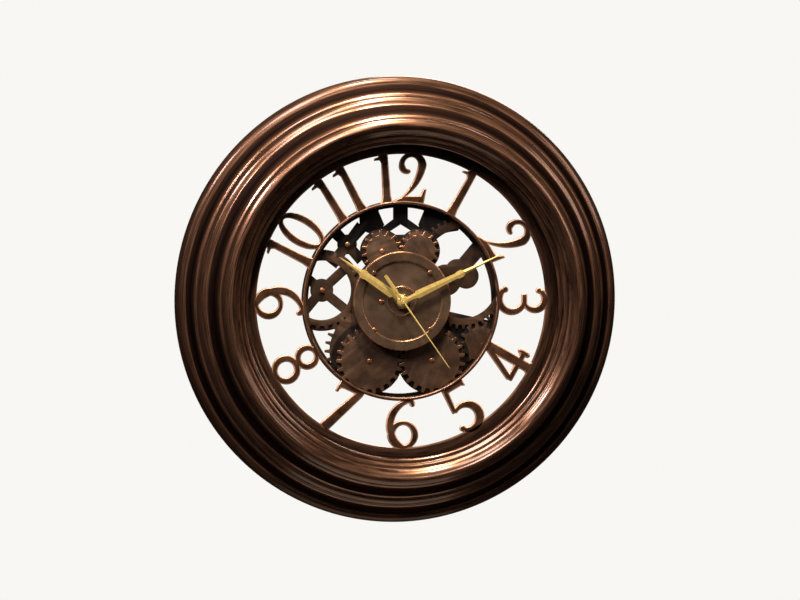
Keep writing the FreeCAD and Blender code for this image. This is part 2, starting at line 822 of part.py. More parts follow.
def build_dial():
    """The rim behind the case's lip, the chapter ring, and the numerals that join the two."""
    front = size.dial_front_depth.number
    back = dial_back.number
    opening = size.dial_opening_radius.number
    rim = size.dial_radius.number
    rim_ring = revolved([(opening, back), (rim, back), (rim, front), (opening, front)])
    add_shape("dial_rim", rim_ring)
    chapter = size.chapter_radius.number
    wall = size.chapter_wall.number
    foot = plate_front.number
    top = chapter_front.number
    chapter_ring = revolved([(chapter - wall, foot), (chapter, foot), (chapter, top), (chapter - wall, top)])
    add_shape("chapter_ring", chapter_ring)
    inner = chapter - size.numeral_bite.number
    outer = opening + size.numeral_bite.number
    height = outer - inner
    thickness = front - back
    for hour, places in numeral_places_shares.items():
        hour_angle = 90 - 30 * hour
        inward = first_inward_hour <= hour <= last_inward_hour
        for digit, place_share in places:
            step = math.degrees(place_share * height / ((inner + outer) / 2))
            angle = hour_angle + step if inward else hour_angle - step
            lean = hour_angle + (angle - hour_angle) * digit_fan_share
            solid = digit_solid(digit, height, thickness)
            solid.rotate(Vector(0, 0, 0), Vector(0, 0, 1), lean + 90 if inward else lean - 90)
            foot_radius = outer if inward else inner
            turn = math.radians(angle)
            base = Vector(foot_radius * math.cos(turn), foot_radius * math.sin(turn), back)
            solid.translate(base)
            solid = solid.cut(rim_ring).cut(chapter_ring)
            name = "numeral_%d" % hour
            if len(places) > 1:
                name += "_left" if place_share < 0 else "_right"
            add_shape(name, max(solid.Solids, key=lambda part: part.Volume))


# Relief of the gear plate. Places and radii are shares of the plate's radius, x to the right and
# y up from the hands' axis.
lower_wheel_shares = (0.319, -0.603)
lower_floor_share = 0.344
lower_wheel_teeth = 22
top_wheel_shares = (0.191, 0.502)
top_floor_share = 0.217
top_wheel_teeth = 15
back_wheel_shares = (-0.310, -0.504)
back_wheel_pitch_share = 0.440
back_wheel_teeth = 32
right_wheel_shares = (0.832, -0.448)
right_wheel_pitch_share = 0.203
right_wheel_teeth = 14
right_web_angles = (-13.0, -52.0)
crescent_shares = (0.65, 0.164)
crescent_inner_share = 0.351
crescent_pitch_share = 0.442
crescent_teeth = 40
crescent_angles = (-150.0, -18.0)
band_shares = (0.708, 0.217)
band_inner_share = 0.521
band_pitch_share = 0.622
band_teeth = 54
band_angles = (100.0, 168.0)
spoked_shares = (-0.80, 0.111)
spoked_hub_share = 0.117
spoked_rim_share = 0.300
spoked_floor_share = 0.411
spoked_pitch_share = 0.383
spoked_teeth = 26
spoke_width_share = 0.097
spoke_angles = (42.0, 140.0, -130.0, -39.0)
cross_shares = (-0.541, 0.571)
cross_hub_share = 0.10
cross_arms_shares = [(50.0, 0.24, 0.13), (135.0, 0.34, 0.14), (-128.0, 0.26, 0.12), (-48.0, 0.22, 0.11)]
lever_discs_shares = [(0.587, 0.297, 0.117), (0.681, 0.239, 0.128), (0.47, 0.20, 0.16)]
lever_bar_shares = ((0.86, 0.58), (0.56, 0.24), 0.165, 0.15)
top_bar_shares = ((0.006, 0.98), (0.006, 0.80), 0.15, 0.15)
top_arms_shares = [((0.02, 0.83), (-0.17, 0.70), 0.09, 0.075), ((-0.01, 0.83), (0.19, 0.70), 0.09, 0.075)]
saddle_shares = ((-0.14, 0.60), (0.15, 0.60), 0.13, 0.13)
top_webs_shares = [
    [(-0.42, 0.90), (-0.41, 0.765), (-0.34, 0.69), (-0.24, 0.66), (-0.16, 0.765), (-0.218, 0.90), (-0.218, 0.98)],
    [
        (0.245, 0.98), (0.245, 0.90), (0.19, 0.765), (0.24, 0.62),
        (0.50, 0.685), (0.60, 0.70), (0.62, 0.80), (0.45, 0.90),
    ],
]
relief_module_shares = {"lower": 0.0295, "top": 0.0250, "back": 0.0275, "right": 0.0290}
rim_module_share = 0.0230


def sector(x, y, inner, outer, angles, back, front):
    """Part of a flat ring between two angles in degrees."""
    start, end = (math.radians(angle) for angle in angles)
    middle = (start + end) / 2

    def place(radius, angle):
        return Vector(x + radius * math.cos(angle), y + radius * math.sin(angle), back)

    edges = [
        Part.Arc(place(outer, start), place(outer, middle), place(outer, end)).toShape(),
        Part.LineSegment(place(outer, end), place(inner, end)).toShape(),
        Part.Arc(place(inner, end), place(inner, middle), place(inner, start)).toShape(),
        Part.LineSegment(place(inner, start), place(outer, start)).toShape(),
    ]
    return Part.Face(Part.Wire(edges)).extrude(Vector(0, 0, front - back))


def toothed(x, y, pitch_radius, teeth, module, back, front, phase=0.0):
    points = tooth_points(teeth, pitch_radius, module, relief_shares, phase, x, y)
    return prism(points, back, front)


def build_gear_plate():
    """The openwork plate: spoked wheel, crescent, toothed band, brackets and pads in two steps."""
    radius = size.plate_radius.number
    back = plate_back.number
    low = plate_front.number
    high = relief_front.number

    def spot(shares):
        return shares[0] * radius, shares[1] * radius

    def plain_bar(shares, front):
        return bar(spot(shares[0]), spot(shares[1]), shares[2] * radius, shares[3] * radius, back, front)

    rim_module = rim_module_share * radius
    solids = []
    # Flange under the chapter ring
    flange = disc(0, 0, radius, back, low).cut(disc(0, 0, radius - size.plate_flange.number, back, low))
    solids.append(flange)
    solids.append(disc(0, 0, size.disc_radius.number, back, low))
    # Spoked wheel on the left
    x, y = spot(spoked_shares)
    rim = disc(x, y, spoked_floor_share * radius, back, low)
    rim = rim.fuse(toothed(x, y, spoked_pitch_share * radius, spoked_teeth, rim_module, back, high))
    rim = rim.cut(disc(x, y, spoked_rim_share * radius, back, high))
    solids.append(rim)
    solids.append(disc(x, y, spoked_hub_share * radius, back, low))
    for angle in spoke_angles:
        reach = (spoked_rim_share + spoked_floor_share) / 2 * radius
        end = (x + reach * math.cos(math.radians(angle)), y + reach * math.sin(math.radians(angle)))
        solids.append(bar((x, y), end, spoke_width_share * radius, spoke_width_share * radius, back, low))
    # Crescent on the right and the toothed band above it
    x, y = spot(crescent_shares)
    outer = (crescent_pitch_share + 2 * rim_module_share) * radius
    crescent = toothed(x, y, crescent_pitch_share * radius, crescent_teeth, rim_module, back, high)
    solids.append(crescent.common(sector(x, y, crescent_inner_share * radius, outer, crescent_angles, back, high)))
    x, y = spot(band_shares)
    outer = (band_pitch_share + 2 * rim_module_share) * radius
    band = toothed(x, y, band_pitch_share * radius, band_teeth, rim_module, back, high)
    solids.append(band.common(sector(x, y, band_inner_share * radius, outer, band_angles, back, high)))
    # Dark wheel at the right edge on its web
    x, y = spot(right_wheel_shares)
    solids.append(
        toothed(
            x, y, right_wheel_pitch_share * radius, right_wheel_teeth,
            relief_module_shares["right"] * radius, back, high,
        )
    )
    solids.append(sector(0, 0, size.disc_radius.number * 0.9, radius, right_web_angles, back, low))
    # Large wheel behind the lower left one: only its outer half shows
    x, y = spot(back_wheel_shares)
    whole = toothed(
        x, y, back_wheel_pitch_share * radius, back_wheel_teeth,
        relief_module_shares["back"] * radius, back, high,
    )
    corner = Vector(-lower_wheel_shares[0] * radius - radius, -radius, back)
    half = Part.makeBox(radius, 2 * radius, high - back, corner)
    solids.append(whole.common(half))
    # Pads that carry the four separate wheels
    for side in (-1, 1):
        solids.append(
            disc(
                side * lower_wheel_shares[0] * radius, lower_wheel_shares[1] * radius,
                lower_floor_share * radius, back, high,
            )
        )
        solids.append(
            disc(
                side * top_wheel_shares[0] * radius, top_wheel_shares[1] * radius,
                top_floor_share * radius, back, high,
            )
        )
    # Four-armed bracket at the upper left
    x, y = spot(cross_shares)
    solids.append(disc(x, y, cross_hub_share * radius, back, low))
    for angle, reach, width in cross_arms_shares:
        turn = math.radians(angle)
        end = (x + reach * radius * math.cos(turn), y + reach * radius * math.sin(turn))
        solids.append(bar((x, y), end, cross_hub_share * radius, width * radius, back, low))
    # Lever with two round ends at the upper right
    solids.append(plain_bar(lever_bar_shares, low))
    for x_share, y_share, radius_share in lever_discs_shares:
        solids.append(disc(x_share * radius, y_share * radius, radius_share * radius, back, low))
    # Forked bracket and webs at the top
    solids.append(plain_bar(top_bar_shares, low))
    solids.append(plain_bar(saddle_shares, low))
    for shares in top_arms_shares:
        solids.append(plain_bar(shares, low))
    for corners in top_webs_shares:
        solids.append(prism([spot(corner) for corner in corners], back, low))
    plate = fused(solids).common(disc(0, 0, radius, back, high))
    # The chapter ring stands on the flange, so nothing higher than the plate reaches under it
    room = disc(0, 0, radius + size.plate_flange.number, low, high + size.relief_thickness.number)
    inner = size.chapter_radius.number - size.chapter_wall.number - size.floor_clearance.number
    room = room.cut(disc(0, 0, inner, low, high + size.relief_thickness.number))
    plate = plate.cut(room)
    # Room for the centre disc's hub, and the hole for the bushing
    plate = plate.cut(disc(0, 0, size.disc_hub_radius.number + size.floor_clearance.number, low, high))
    bore = size.bushing_radius.number + size.bushing_clearance.number
    plate = plate.cut(disc(0, 0, bore, back, high))
    return add_shape("gear_plate", plate.removeSplitter().Solids[0])


def build_wheel(name, side, place_shares, teeth, module_share, phase_share):
    """A separate wheel of the relief. The two of a pair stand in each other's gaps."""
    radius = size.plate_radius.number
    x = side * place_shares[0] * radius
    y = place_shares[1] * radius
    phase = -side * 2 * math.pi / teeth * phase_share
    wheel = toothed(
        x, y, place_shares[0] * radius, teeth, module_share * radius,
        relief_front.number, wheel_front.number, phase,
    )
    limit = size.chapter_radius.number - size.chapter_wall.number - size.floor_clearance.number
    wheel = wheel.common(disc(0, 0, limit, relief_front.number, wheel_front.number))
    return add_shape(name, wheel.Solids[0])


def build_wheels():
    # A tooth of one wheel of a pair points along the line of centres, and a gap of the other
    rows = [
        ("wheel_lower_left", -1, lower_wheel_shares, lower_wheel_teeth, "lower", 0.0),
        ("wheel_lower_right", 1, lower_wheel_shares, lower_wheel_teeth, "lower", 0.5),
        ("wheel_upper_left", -1, top_wheel_shares, top_wheel_teeth, "top", 0.0),
        ("wheel_upper_right", 1, top_wheel_shares, top_wheel_teeth, "top", 0.0),
    ]
    for name, side, places, teeth, kind, phase in rows:
        build_wheel(name, side, places, teeth, relief_module_shares[kind], phase)


def build_centre_disc():
    """The raised disc over the middle of the plate, on its thick hub."""
    body = new_body("centre_disc")
    profile = sketch_on(body, "XY_Plane")
    bore = size.bushing_radius + size.bushing_clearance
    rim_back = wheel_front + size.disc_rim_clearance
    draw_outline(
        profile,
        [
            (bore, -plate_front),
            (size.disc_hub_radius, -plate_front),
            (size.disc_hub_radius, -rim_back),
            (size.disc_radius, -rim_back),
            (size.disc_radius, -size.disc_front_depth),
            (size.disc_floor_radius, -size.disc_front_depth),
            (size.disc_floor_radius, -disc_floor_depth),
            (bore, -disc_floor_depth),
        ],
    )
    revolve(body, profile)
    return body


def build_hanger():
    """The keyhole plate at the top of the back: the screw head enters low and the slot drops on it."""
    body = new_body("hanger_plate")
    outline = sketch_on(body, "XZ_Plane", size.hanger_back_depth)
    half = size.hanger_width / 2
    low = size.hanger_place - size.hanger_height / 2
    corner = size.keyhole_drop
    draw_outline(
        outline,
        [
            (-half, low + corner),
            (-half + corner, low),
            (half - corner, low),
            (half, low + corner),
            (half, low + size.hanger_height - corner),
            (half - corner, low + size.hanger_height),
            (-half + corner, low + size.hanger_height),
            (-half, low + size.hanger_height - corner),
        ],
    )
    pad(body, outline, size.hanger_thickness)
    hole = sketch_on(body, "XZ_Plane", size.hanger_back_depth)
    draw_circle(hole, 0, size.hanger_place - size.keyhole_drop, size.keyhole_radius)
    pocket(body, hole, size.hanger_thickness, reversed_side=True)
    slot = sketch_on(body, "XZ_Plane", size.hanger_back_depth)
    slot_half = size.keyhole_slot_width / 2
    slot_low = size.hanger_place - size.keyhole_drop
    draw_rectangle(slot, -slot_half, slot_low, slot_half, slot_low + size.keyhole_slot_rise)
    pocket(body, slot, size.hanger_thickness, reversed_side=True)
    return body


# Movement housing
def post_places():
    """Feet of the posts that carry the middle plate, clear of every wheel."""
    low = chamber_bottom + 2 * size.post_radius
    return [
        (half_side * 0.55, low),
        (-half_side * 0.55, low),
        (knob_recess_radius * -1.6, knob_place[1] + size.post_radius),
        (half_side * 0.76, half_side * 0.14),
    ]


def square_post(body, place, back, front, half):
    """A square post between two depths."""
    foot = sketch_on(body, "XZ_Plane", back)
    draw_rectangle(foot, place[0] - half, place[1] - half, place[0] + half, place[1] + half)
    pad(body, foot, front - back)


def bearing(body, place, back, depth, radius):
    """A round hole in a post, blind or through."""
    hole = sketch_on(body, "XZ_Plane", back)
    draw_circle(hole, place[0], place[1], radius)
    pocket(body, hole, depth, reversed_side=True)


def build_movement_case():
    body = new_body("movement_case")
    outside = sketch_on(body, "XZ_Plane", cover_front)
    draw_rectangle(outside, -half_side, -half_side, half_side, half_side)
    pad(body, outside, plate_back - cover_front)
    inside = sketch_on(body, "XZ_Plane", cover_front)
    draw_rectangle(inside, -chamber_half, bay_bottom, chamber_half, chamber_half)
    pocket(body, inside, chamber_front - cover_front, reversed_side=True)
    # Wall between the battery bay and the train, short of the sides so that the contacts pass
    wall = sketch_on(body, "XZ_Plane", cover_front)
    wall_half = chamber_half - size.partition_gap
    draw_rectangle(wall, -wall_half, bay_top, wall_half, chamber_bottom)
    pad(body, wall, plate_back - size.movement_cover / 2 - cover_front)
    # Threaded bushing, drawn plain
    bushing = sketch_on(body, "XZ_Plane", chamber_front)
    draw_circle(bushing, 0, 0, size.bushing_radius)
    pad(body, bushing, bushing_front - chamber_front)
    bore = sketch_on(body, "XZ_Plane", chamber_front)
    draw_circle(bore, 0, 0, size.hour_pipe_radius + size.bearing_clearance)
    pocket(body, bore, bushing_front - chamber_front, reversed_side=True)
    # Bearings, the minute wheel's stud and plain posts on the inside of the front
    post_front = plate_back - size.movement_cover / 2
    third_end = third_pinion_front + size.socket_end_play
    magnet_end = size.magnet_back_depth + size.magnet_length + size.socket_end_play
    for place, end in ((third_place, third_end), (rotor_place, magnet_end)):
        square_post(body, place, end, post_front, size.socket_radius)
        bearing(body, place, end, 2 * size.pivot_length, bearing_radius)
    stud = sketch_on(body, "XZ_Plane", size.minute_wheel_back_depth)
    draw_circle(stud, minute_wheel_place[0], minute_wheel_place[1], size.stud_radius)
    pad(body, stud, post_front - size.minute_wheel_back_depth)
    for place in post_places():
        square_post(body, place, mid_plate_front, post_front, size.post_radius)
    arm = size.stator_arm / 2
    for x in (stator_left + arm, stator_right - arm):
        square_post(body, (x, stator_top - arm), stator_front, post_front, size.socket_radius * 0.8)
    for share in (0.2, 0.8):
        place = (board_left + share * size.board_width, board_top - size.socket_radius)
        square_post(body, place, board_front, post_front, size.socket_radius * 0.8)
    return body


def build_movement_back():
    """The back cover of the train. The battery bay below it stays open to the back."""
    body = new_body("movement_back")
    outline = sketch_on(body, "XZ_Plane", size.movement_back_depth)
    draw_rectangle(outline, -half_side, bay_top, half_side, half_side)
    pad(body, outline, size.movement_cover)
    # Cup for the setting knob
    cup = sketch_on(body, "XZ_Plane", size.movement_back_depth)
    reach = knob_recess_radius + size.knob_cup_wall
    draw_rectangle(cup, -reach, knob_place[1] - reach, reach, knob_place[1] + reach)
    pad(body, cup, knob_cup_front - size.movement_back_depth)
    recess = sketch_on(body, "XZ_Plane", size.movement_back_depth)
    draw_circle(recess, knob_place[0], knob_place[1], knob_recess_radius)
    pocket(body, recess, knob_cup_back - size.movement_back_depth, reversed_side=True)
    stem_hole = sketch_on(body, "XZ_Plane", knob_cup_back)
    draw_circle(stem_hole, knob_place[0], knob_place[1], size.knob_stem_radius + size.bearing_clearance)
    pocket(body, stem_hole, size.knob_cup_wall, reversed_side=True)
    # Rear bearings, each standing forward to just behind its wheel
    rear_ends = [
        (intermediate_place, size.intermediate_back_depth),
        (rotor_place, size.rotor_pinion_back_depth),
        ((0, 0), size.second_wheel_back_depth),
    ]
    for place, wheel_back in rear_ends:
        end = wheel_back - size.socket_end_play
        square_post(body, place, size.movement_back_depth, end, size.socket_radius)
        radius = second_bearing_radius if number_of(place[0]) == 0 else bearing_radius
        bearing(body, place, end - size.pivot_length, size.pivot_length, radius)
    return body


def build_mid_plate():
    """The plate between the two layers of wheels, on four posts."""
    body = new_body("middle_plate")
    outline = sketch_on(body, "XZ_Plane", size.mid_plate_back_depth)
    feet = post_places()
    rim = size.post_radius * 1.5
    draw_outline(
        outline,
        [
            (feet[1][0] - rim, feet[1][1] - rim),
            (feet[0][0] + rim, feet[0][1] - rim),
            (feet[3][0] + rim, feet[3][1] - rim),
            (feet[3][0] + rim, feet[3][1] + rim),
            (intermediate_place[0] + rim, intermediate_place[1] + rim),
            (knob_place[0], knob_place[1] - 2 * size.knob_stem_radius),
            (feet[2][0] + rim, feet[2][1] + rim),
            (feet[2][0] - rim, feet[2][1] + rim),
            (feet[1][0] - rim, third_place[1]),
        ],
    )
    pad(body, outline, size.mid_plate_thickness)
    holes = sketch_on(body, "XZ_Plane", size.mid_plate_back_depth)
    draw_circle(holes, third_place[0], third_place[1], bearing_radius)
    draw_circle(holes, intermediate_place[0], intermediate_place[1], bearing_radius)
    draw_circle(holes, 0, 0, second_bearing_radius)
    pocket(body, holes, size.mid_plate_thickness, reversed_side=True)
    return body


# Train: depths of the pinions that mesh with each wheel
intermediate_pinion_front = size.second_wheel_back_depth + size.wheel_thickness + size.pinion_overhang
rotor_pinion_front = size.intermediate_back_depth + size.wheel_thickness + size.pinion_overhang
second_pinion_back = size.third_wheel_back_depth - size.pinion_overhang
second_pinion_front = size.third_wheel_back_depth + size.wheel_thickness + size.pinion_overhang
third_pinion_front = size.centre_wheel_back_depth + size.wheel_thickness + size.pinion_overhang
cannon_back = size.minute_wheel_back_depth - size.pinion_overhang
cannon_front = size.minute_wheel_back_depth + size.wheel_thickness + size.pinion_overhang
minute_pinion_front = size.hour_wheel_back_depth + size.wheel_thickness + size.pinion_overhang
knob_pinion_front = cannon_front


def toothed_wheel(place, teeth, module, depths, shares, phase):
    """A wheel or pinion of the train between two depths."""
    x, y = number_of(place[0]), number_of(place[1])
    module = number_of(module)
    points = tooth_points(teeth, teeth * module / 2, module, shares, phase, x, y)
    return prism(points, number_of(depths[0]), number_of(depths[1]))


def rod(place, radius, back, front):
    return disc(number_of(place[0]), number_of(place[1]), number_of(radius), number_of(back), number_of(front))


def meshing_phase(direction, teeth, leader_teeth, leader_phase):
    """Turns a follower so that a gap of it meets a tooth of its leader.

    direction is the angle from the leader's axis to the follower's, in degrees.
    """
    toward = math.radians(direction)
    leader_pitch = 2 * math.pi / leader_teeth
    offset = (toward - leader_phase) / leader_pitch
    offset = offset - math.floor(offset)
    return toward + math.pi + math.pi / teeth + offset * 2 * math.pi / teeth


def build_train():
    module = size.first_module
    centre = (0, 0)
    play = size.bearing_clearance

    # Seconds: wheel, pinion and long arbor that carries the second hand
    wheel_front_depth = size.second_wheel_back_depth + size.wheel_thickness
    second = [
        toothed_wheel(
            centre, second_teeth, module, (size.second_wheel_back_depth, wheel_front_depth),
            wheel_shares, 0,
        ),
        rod(
            centre,
            size.second_arbor_radius,
            size.second_wheel_back_depth - size.pivot_length,
            second_hand_front + size.pipe_tip,
        ),
        toothed_wheel(
            centre,
            second_leaves,
            2 * size.third_arbor_distance / (second_leaves + third_teeth),
            (second_pinion_back, second_pinion_front),
            leaf_shares,
            0,
        ),
    ]
    add_shape("second_arbor", fused(second))

    # Intermediate wheel and pinion
    pinion_phase = meshing_phase(intermediate_direction, intermediate_leaves, second_teeth, 0)
    wheel_front_depth = size.intermediate_back_depth + size.wheel_thickness
    intermediate = [
        toothed_wheel(
            intermediate_place,
            intermediate_teeth,
            module,
            (size.intermediate_back_depth, wheel_front_depth),
            wheel_shares,
            pinion_phase,
        ),
        toothed_wheel(
            intermediate_place,
            intermediate_leaves,
            module,
            (wheel_front_depth, intermediate_pinion_front),
            leaf_shares,
            pinion_phase,
        ),
        rod(
            intermediate_place,
            size.pivot_radius,
            size.intermediate_back_depth - size.pivot_length,
            size.mid_plate_back_depth + size.mid_plate_thickness,
        ),
    ]
    add_shape("intermediate_wheel", fused(intermediate))

    # Rotor: pinion, shaft and magnet
    rotor_phase = meshing_phase(rotor_direction, rotor_leaves, intermediate_teeth, pinion_phase)
    magnet_front = size.magnet_back_depth + size.magnet_length
    rotor = [
        toothed_wheel(
            rotor_place, rotor_leaves, module, (size.rotor_pinion_back_depth, rotor_pinion_front),
            leaf_shares, rotor_phase,
        ),
        rod(rotor_place, size.magnet_radius, size.magnet_back_depth, magnet_front),
        rod(
            rotor_place,
            size.pivot_radius,
            size.rotor_pinion_back_depth - size.pivot_length,
            magnet_front + 2 * size.pivot_length,
        ),
    ]
    add_shape("rotor", fused(rotor))

    # Third wheel and pinion
    third_module = 2 * size.third_arbor_distance / (second_leaves + third_teeth)
    third_phase = meshing_phase(third_direction, third_teeth, second_leaves, 0)
    centre_module = 2 * size.third_arbor_distance / (third_leaves + centre_teeth)
    wheel_front_depth = size.third_wheel_back_depth + size.wheel_thickness
    # The second arbor's and the centre wheel's axes agree, so a leaf points back at them
    third_pinion_phase = math.radians(third_direction) + math.pi
    third = [
        toothed_wheel(
            third_place, third_teeth, third_module, (size.third_wheel_back_depth, wheel_front_depth),
            wheel_shares, third_phase,
        ),
        toothed_wheel(
            third_place,
            third_leaves,
            centre_module,
            (wheel_front_depth, third_pinion_front),
            leaf_shares,
            third_pinion_phase,
        ),
        rod(
            third_place,
            size.pivot_radius,
            size.mid_plate_back_depth,
            third_pinion_front + 2 * size.pivot_length,
        ),
    ]
    add_shape("third_wheel", fused(third))

    # Centre wheel: turns once an hour and drags the minute arbor's tube by friction
    wheel_front_depth = size.centre_wheel_back_depth + size.wheel_thickness
    centre_phase = math.radians(third_direction) + math.pi / centre_teeth
    wheel = toothed_wheel(
        centre,
        centre_teeth,
        centre_module,
        (size.centre_wheel_back_depth, wheel_front_depth),
        wheel_shares,
        centre_phase,
    )
    bore = rod(centre, size.minute_tube_radius + play, size.centre_wheel_back_depth, wheel_front_depth)
    add_shape("centre_wheel", wheel.cut(bore))

    # Minute arbor: one tube with the cannon pinion, long enough to carry the minute hand
    minute = fused(
        [
            toothed_wheel(centre, cannon_leaves, motion_module, (cannon_back, cannon_front), leaf_shares, 0),
            rod(centre, size.minute_tube_radius, size.centre_wheel_back_depth, minute_hand_front + size.pipe_tip),
        ]
    )
    bore = rod(
        centre,
        size.second_arbor_radius + play,
        size.centre_wheel_back_depth,
        minute_hand_front + size.pipe_tip,
    )
    add_shape("minute_arbor", minute.cut(bore))

    # Minute wheel and pinion on their stud
    minute_phase = meshing_phase(minute_wheel_direction, minute_teeth, cannon_leaves, 0)
    hour_module = 2 * size.motion_arbor_distance / (minute_leaves + hour_teeth)
    wheel_front_depth = size.minute_wheel_back_depth + size.wheel_thickness
    minute_pinion_phase = math.radians(minute_wheel_direction) + math.pi
    wheel = fused(
        [
            toothed_wheel(
                minute_wheel_place,
                minute_teeth,
                motion_module,
                (size.minute_wheel_back_depth, wheel_front_depth),
                wheel_shares,
                minute_phase,
            ),
            toothed_wheel(
                minute_wheel_place,
                minute_leaves,
                hour_module,
                (wheel_front_depth, minute_pinion_front),
                leaf_shares,
                minute_pinion_phase,
            ),
        ]
    )
    bore = rod(minute_wheel_place, size.stud_radius + play, size.minute_wheel_back_depth, minute_pinion_front)
    add_shape("minute_wheel", wheel.cut(bore))

    # Hour wheel with the pipe that carries the hour hand
    hour_phase = math.radians(minute_wheel_direction) + math.pi / hour_teeth
    wheel_front_depth = size.hour_wheel_back_depth + size.wheel_thickness
    hour = fused(
        [
            toothed_wheel(
                centre, hour_teeth, hour_module, (size.hour_wheel_back_depth, wheel_front_depth),
                wheel_shares, hour_phase,
            ),
            rod(centre, size.hour_pipe_radius, size.hour_wheel_back_depth, hour_hand_front + size.pipe_tip),
        ]
    )
    bore = rod(
        centre, size.minute_tube_radius + play, size.hour_wheel_back_depth, hour_hand_front + size.pipe_tip
    )
    add_shape("hour_wheel", hour.cut(bore))

    # Setting knob: thumb wheel in the back cover's cup, stem and pinion on the minute wheel
    knob_phase = meshing_phase(minute_wheel_direction, knob_leaves, minute_teeth, minute_phase)
    back = size.movement_back_depth + size.floor_clearance
    grip = [
        toothed_knob(back),
        rod(knob_place, size.knob_stem_radius, knob_front, cannon_back),
        toothed_wheel(
            knob_place, knob_leaves, motion_module, (cannon_back, cannon_front), leaf_shares, knob_phase,
        ),
    ]
    add_shape("setting_knob", fused(grip))


def toothed_knob(back):
    """Ribbed edge of the thumb wheel."""
    points = []
    x, y = number_of(knob_place[0]), number_of(knob_place[1])
    for index in range(2 * thumb_ribs):
        radius = size.knob_radius.number * (1 if index % 2 else 0.9)
        angle = math.pi * index / thumb_ribs
        points.append((x + radius * math.cos(angle), y + radius * math.sin(angle)))
    return prism(points, number_of(back), knob_front.number)


# Motor, circuit and battery
def build_stator():
    body = new_body("stator")
    outline = sketch_on(body, "XZ_Plane", size.stator_back_depth)
    window = stator_bottom + size.stator_foot
    draw_outline(
        outline,
        [
            (stator_left, stator_bottom),
            (stator_right, stator_bottom),
            (stator_right, stator_top),
            (stator_right - size.stator_arm, stator_top),
            (stator_right - size.stator_arm, window),
            (stator_left + size.stator_arm, window),
            (stator_left + size.stator_arm, stator_top),
            (stator_left, stator_top),
        ],
    )
    pad(body, outline, size.stator_thickness)
    hole = sketch_on(body, "XZ_Plane", size.stator_back_depth)
    draw_circle(hole, rotor_place[0], rotor_place[1], size.magnet_radius + size.rotor_gap)
    pocket(body, hole, size.stator_thickness, reversed_side=True)
    return body


def build_coil():
    """Bobbin with square ends and its winding, and the flat core that lies on the stator's arms."""
    length = size.bobbin_length.number
    flange = size.bobbin_flange.number
    half = size.bobbin_radius.number
    thick = size.core_thickness.number
    width = size.core_width.number
    play = size.core_play.number
    coil = prism(
        [
            (size.coil_radius.number * math.cos(angle), size.coil_radius.number * math.sin(angle))
            for angle in [math.pi / winding_sides * (2 * index + 1) for index in range(winding_sides)]
        ],
        -length / 2,
        length / 2,
    )
    coil.rotate(Vector(0, 0, 0), Vector(0, 1, 0), 90)
    for start in (-length / 2, length / 2 - flange):
        coil = coil.fuse(Part.makeBox(flange, 2 * half, 2 * half, Vector(start, -half, -half)))
    slot = Part.makeBox(
        length,
        width + 2 * play,
        thick + 2 * play,
        Vector(-length / 2, -width / 2 - play, -thick / 2 - play),
    )
    coil = coil.cut(slot)
    coil.translate(Vector(rotor_place[0].number, core_height.number, coil_depth.number))
    add_shape("coil", coil)

    core = new_body("coil_core")
    outline = sketch_on(core, "XZ_Plane", core_back)
    reach = size.core_width / 2
    draw_rectangle(outline, stator_left, core_height - reach, stator_right, core_height + reach)
    pad(core, outline, size.core_thickness)


def build_board():
    """Circuit board with its potted chip, and the crystal can soldered beside it."""
    body = new_body("circuit_board")
    outline = sketch_on(body, "XZ_Plane", size.board_back_depth)
    low = board_top - size.board_height
    draw_rectangle(outline, board_left, low, board_left + size.board_width, board_top)
    pad(body, outline, size.board_thickness)
    chip = sketch_on(body, "XZ_Plane", size.board_back_depth - size.chip_height)
    chip_left = board_left + size.board_width * 0.6
    chip_low = low + (size.board_height - size.chip_side) / 2
    draw_rectangle(chip, chip_left, chip_low, chip_left + size.chip_side, chip_low + size.chip_side)
    pad(body, chip, size.chip_height)

    crystal = doc.addObject("Part::Cylinder", "crystal")
    crystal.Label = "crystal"
    crystal.Placement = FreeCAD.Placement(Vector(0, 0, 0), FreeCAD.Rotation(Vector(0, 1, 0), 90))
    tie(crystal, "Radius", size.crystal_radius)
    tie(crystal, "Height", size.crystal_length)
    tie(crystal, "Placement.Base.x", board_left + size.crystal_radius)
    tie(crystal, "Placement.Base.y", -(size.board_back_depth - size.crystal_radius))
    tie(crystal, "Placement.Base.z", low + size.board_height / 2)


def build_contacts():
    """The two battery contacts: a blade at each end of the bay and a strip up to the board."""
    back = cell_depth - size.contact_width / 2
    blade_back = cell_depth - size.blade_width / 2
    thickness = size.contact_thickness
    blade_low = bay_bottom + size.bay_sill
    blade_high = bay_top - size.bay_sill
    middle = (bay_bottom + bay_top) / 2

    minus = new_body("contact_minus")
    strip = sketch_on(minus, "XZ_Plane", back)
    draw_rectangle(strip, -chamber_half, blade_low, thickness - chamber_half, board_top)
    pad(minus, strip, size.contact_width)
    blade = sketch_on(minus, "XZ_Plane", blade_back)
    bend = size.spring_reach - thickness
    draw_outline(
        blade,
        [
            (-chamber_half, blade_low),
            (thickness - chamber_half, blade_low),
            (thickness - chamber_half + bend, middle),
            (thickness - chamber_half, blade_high),
            (-chamber_half, blade_high),
            (-chamber_half, blade_high - thickness),
            (-chamber_half + bend, middle),
            (-chamber_half, blade_low + thickness),
        ],
    )
    pad(minus, blade, size.blade_width)

    plus = new_body("contact_plus")
    strip = sketch_on(plus, "XZ_Plane", back)
    draw_outline(
        strip,
        [
            (chamber_half - thickness, blade_low),
            (chamber_half, blade_low),
            (chamber_half, chamber_half),
            (board_left + size.board_width / 2, chamber_half),
            (board_left + size.board_width / 2, chamber_half - thickness),
            (chamber_half - thickness, chamber_half - thickness),
        ],
    )
    pad(plus, strip, size.contact_width)
    blade = sketch_on(plus, "XZ_Plane", blade_back)
    draw_rectangle(blade, chamber_half - thickness, blade_low, chamber_half, blade_high)
    pad(plus, blade, size.blade_width)


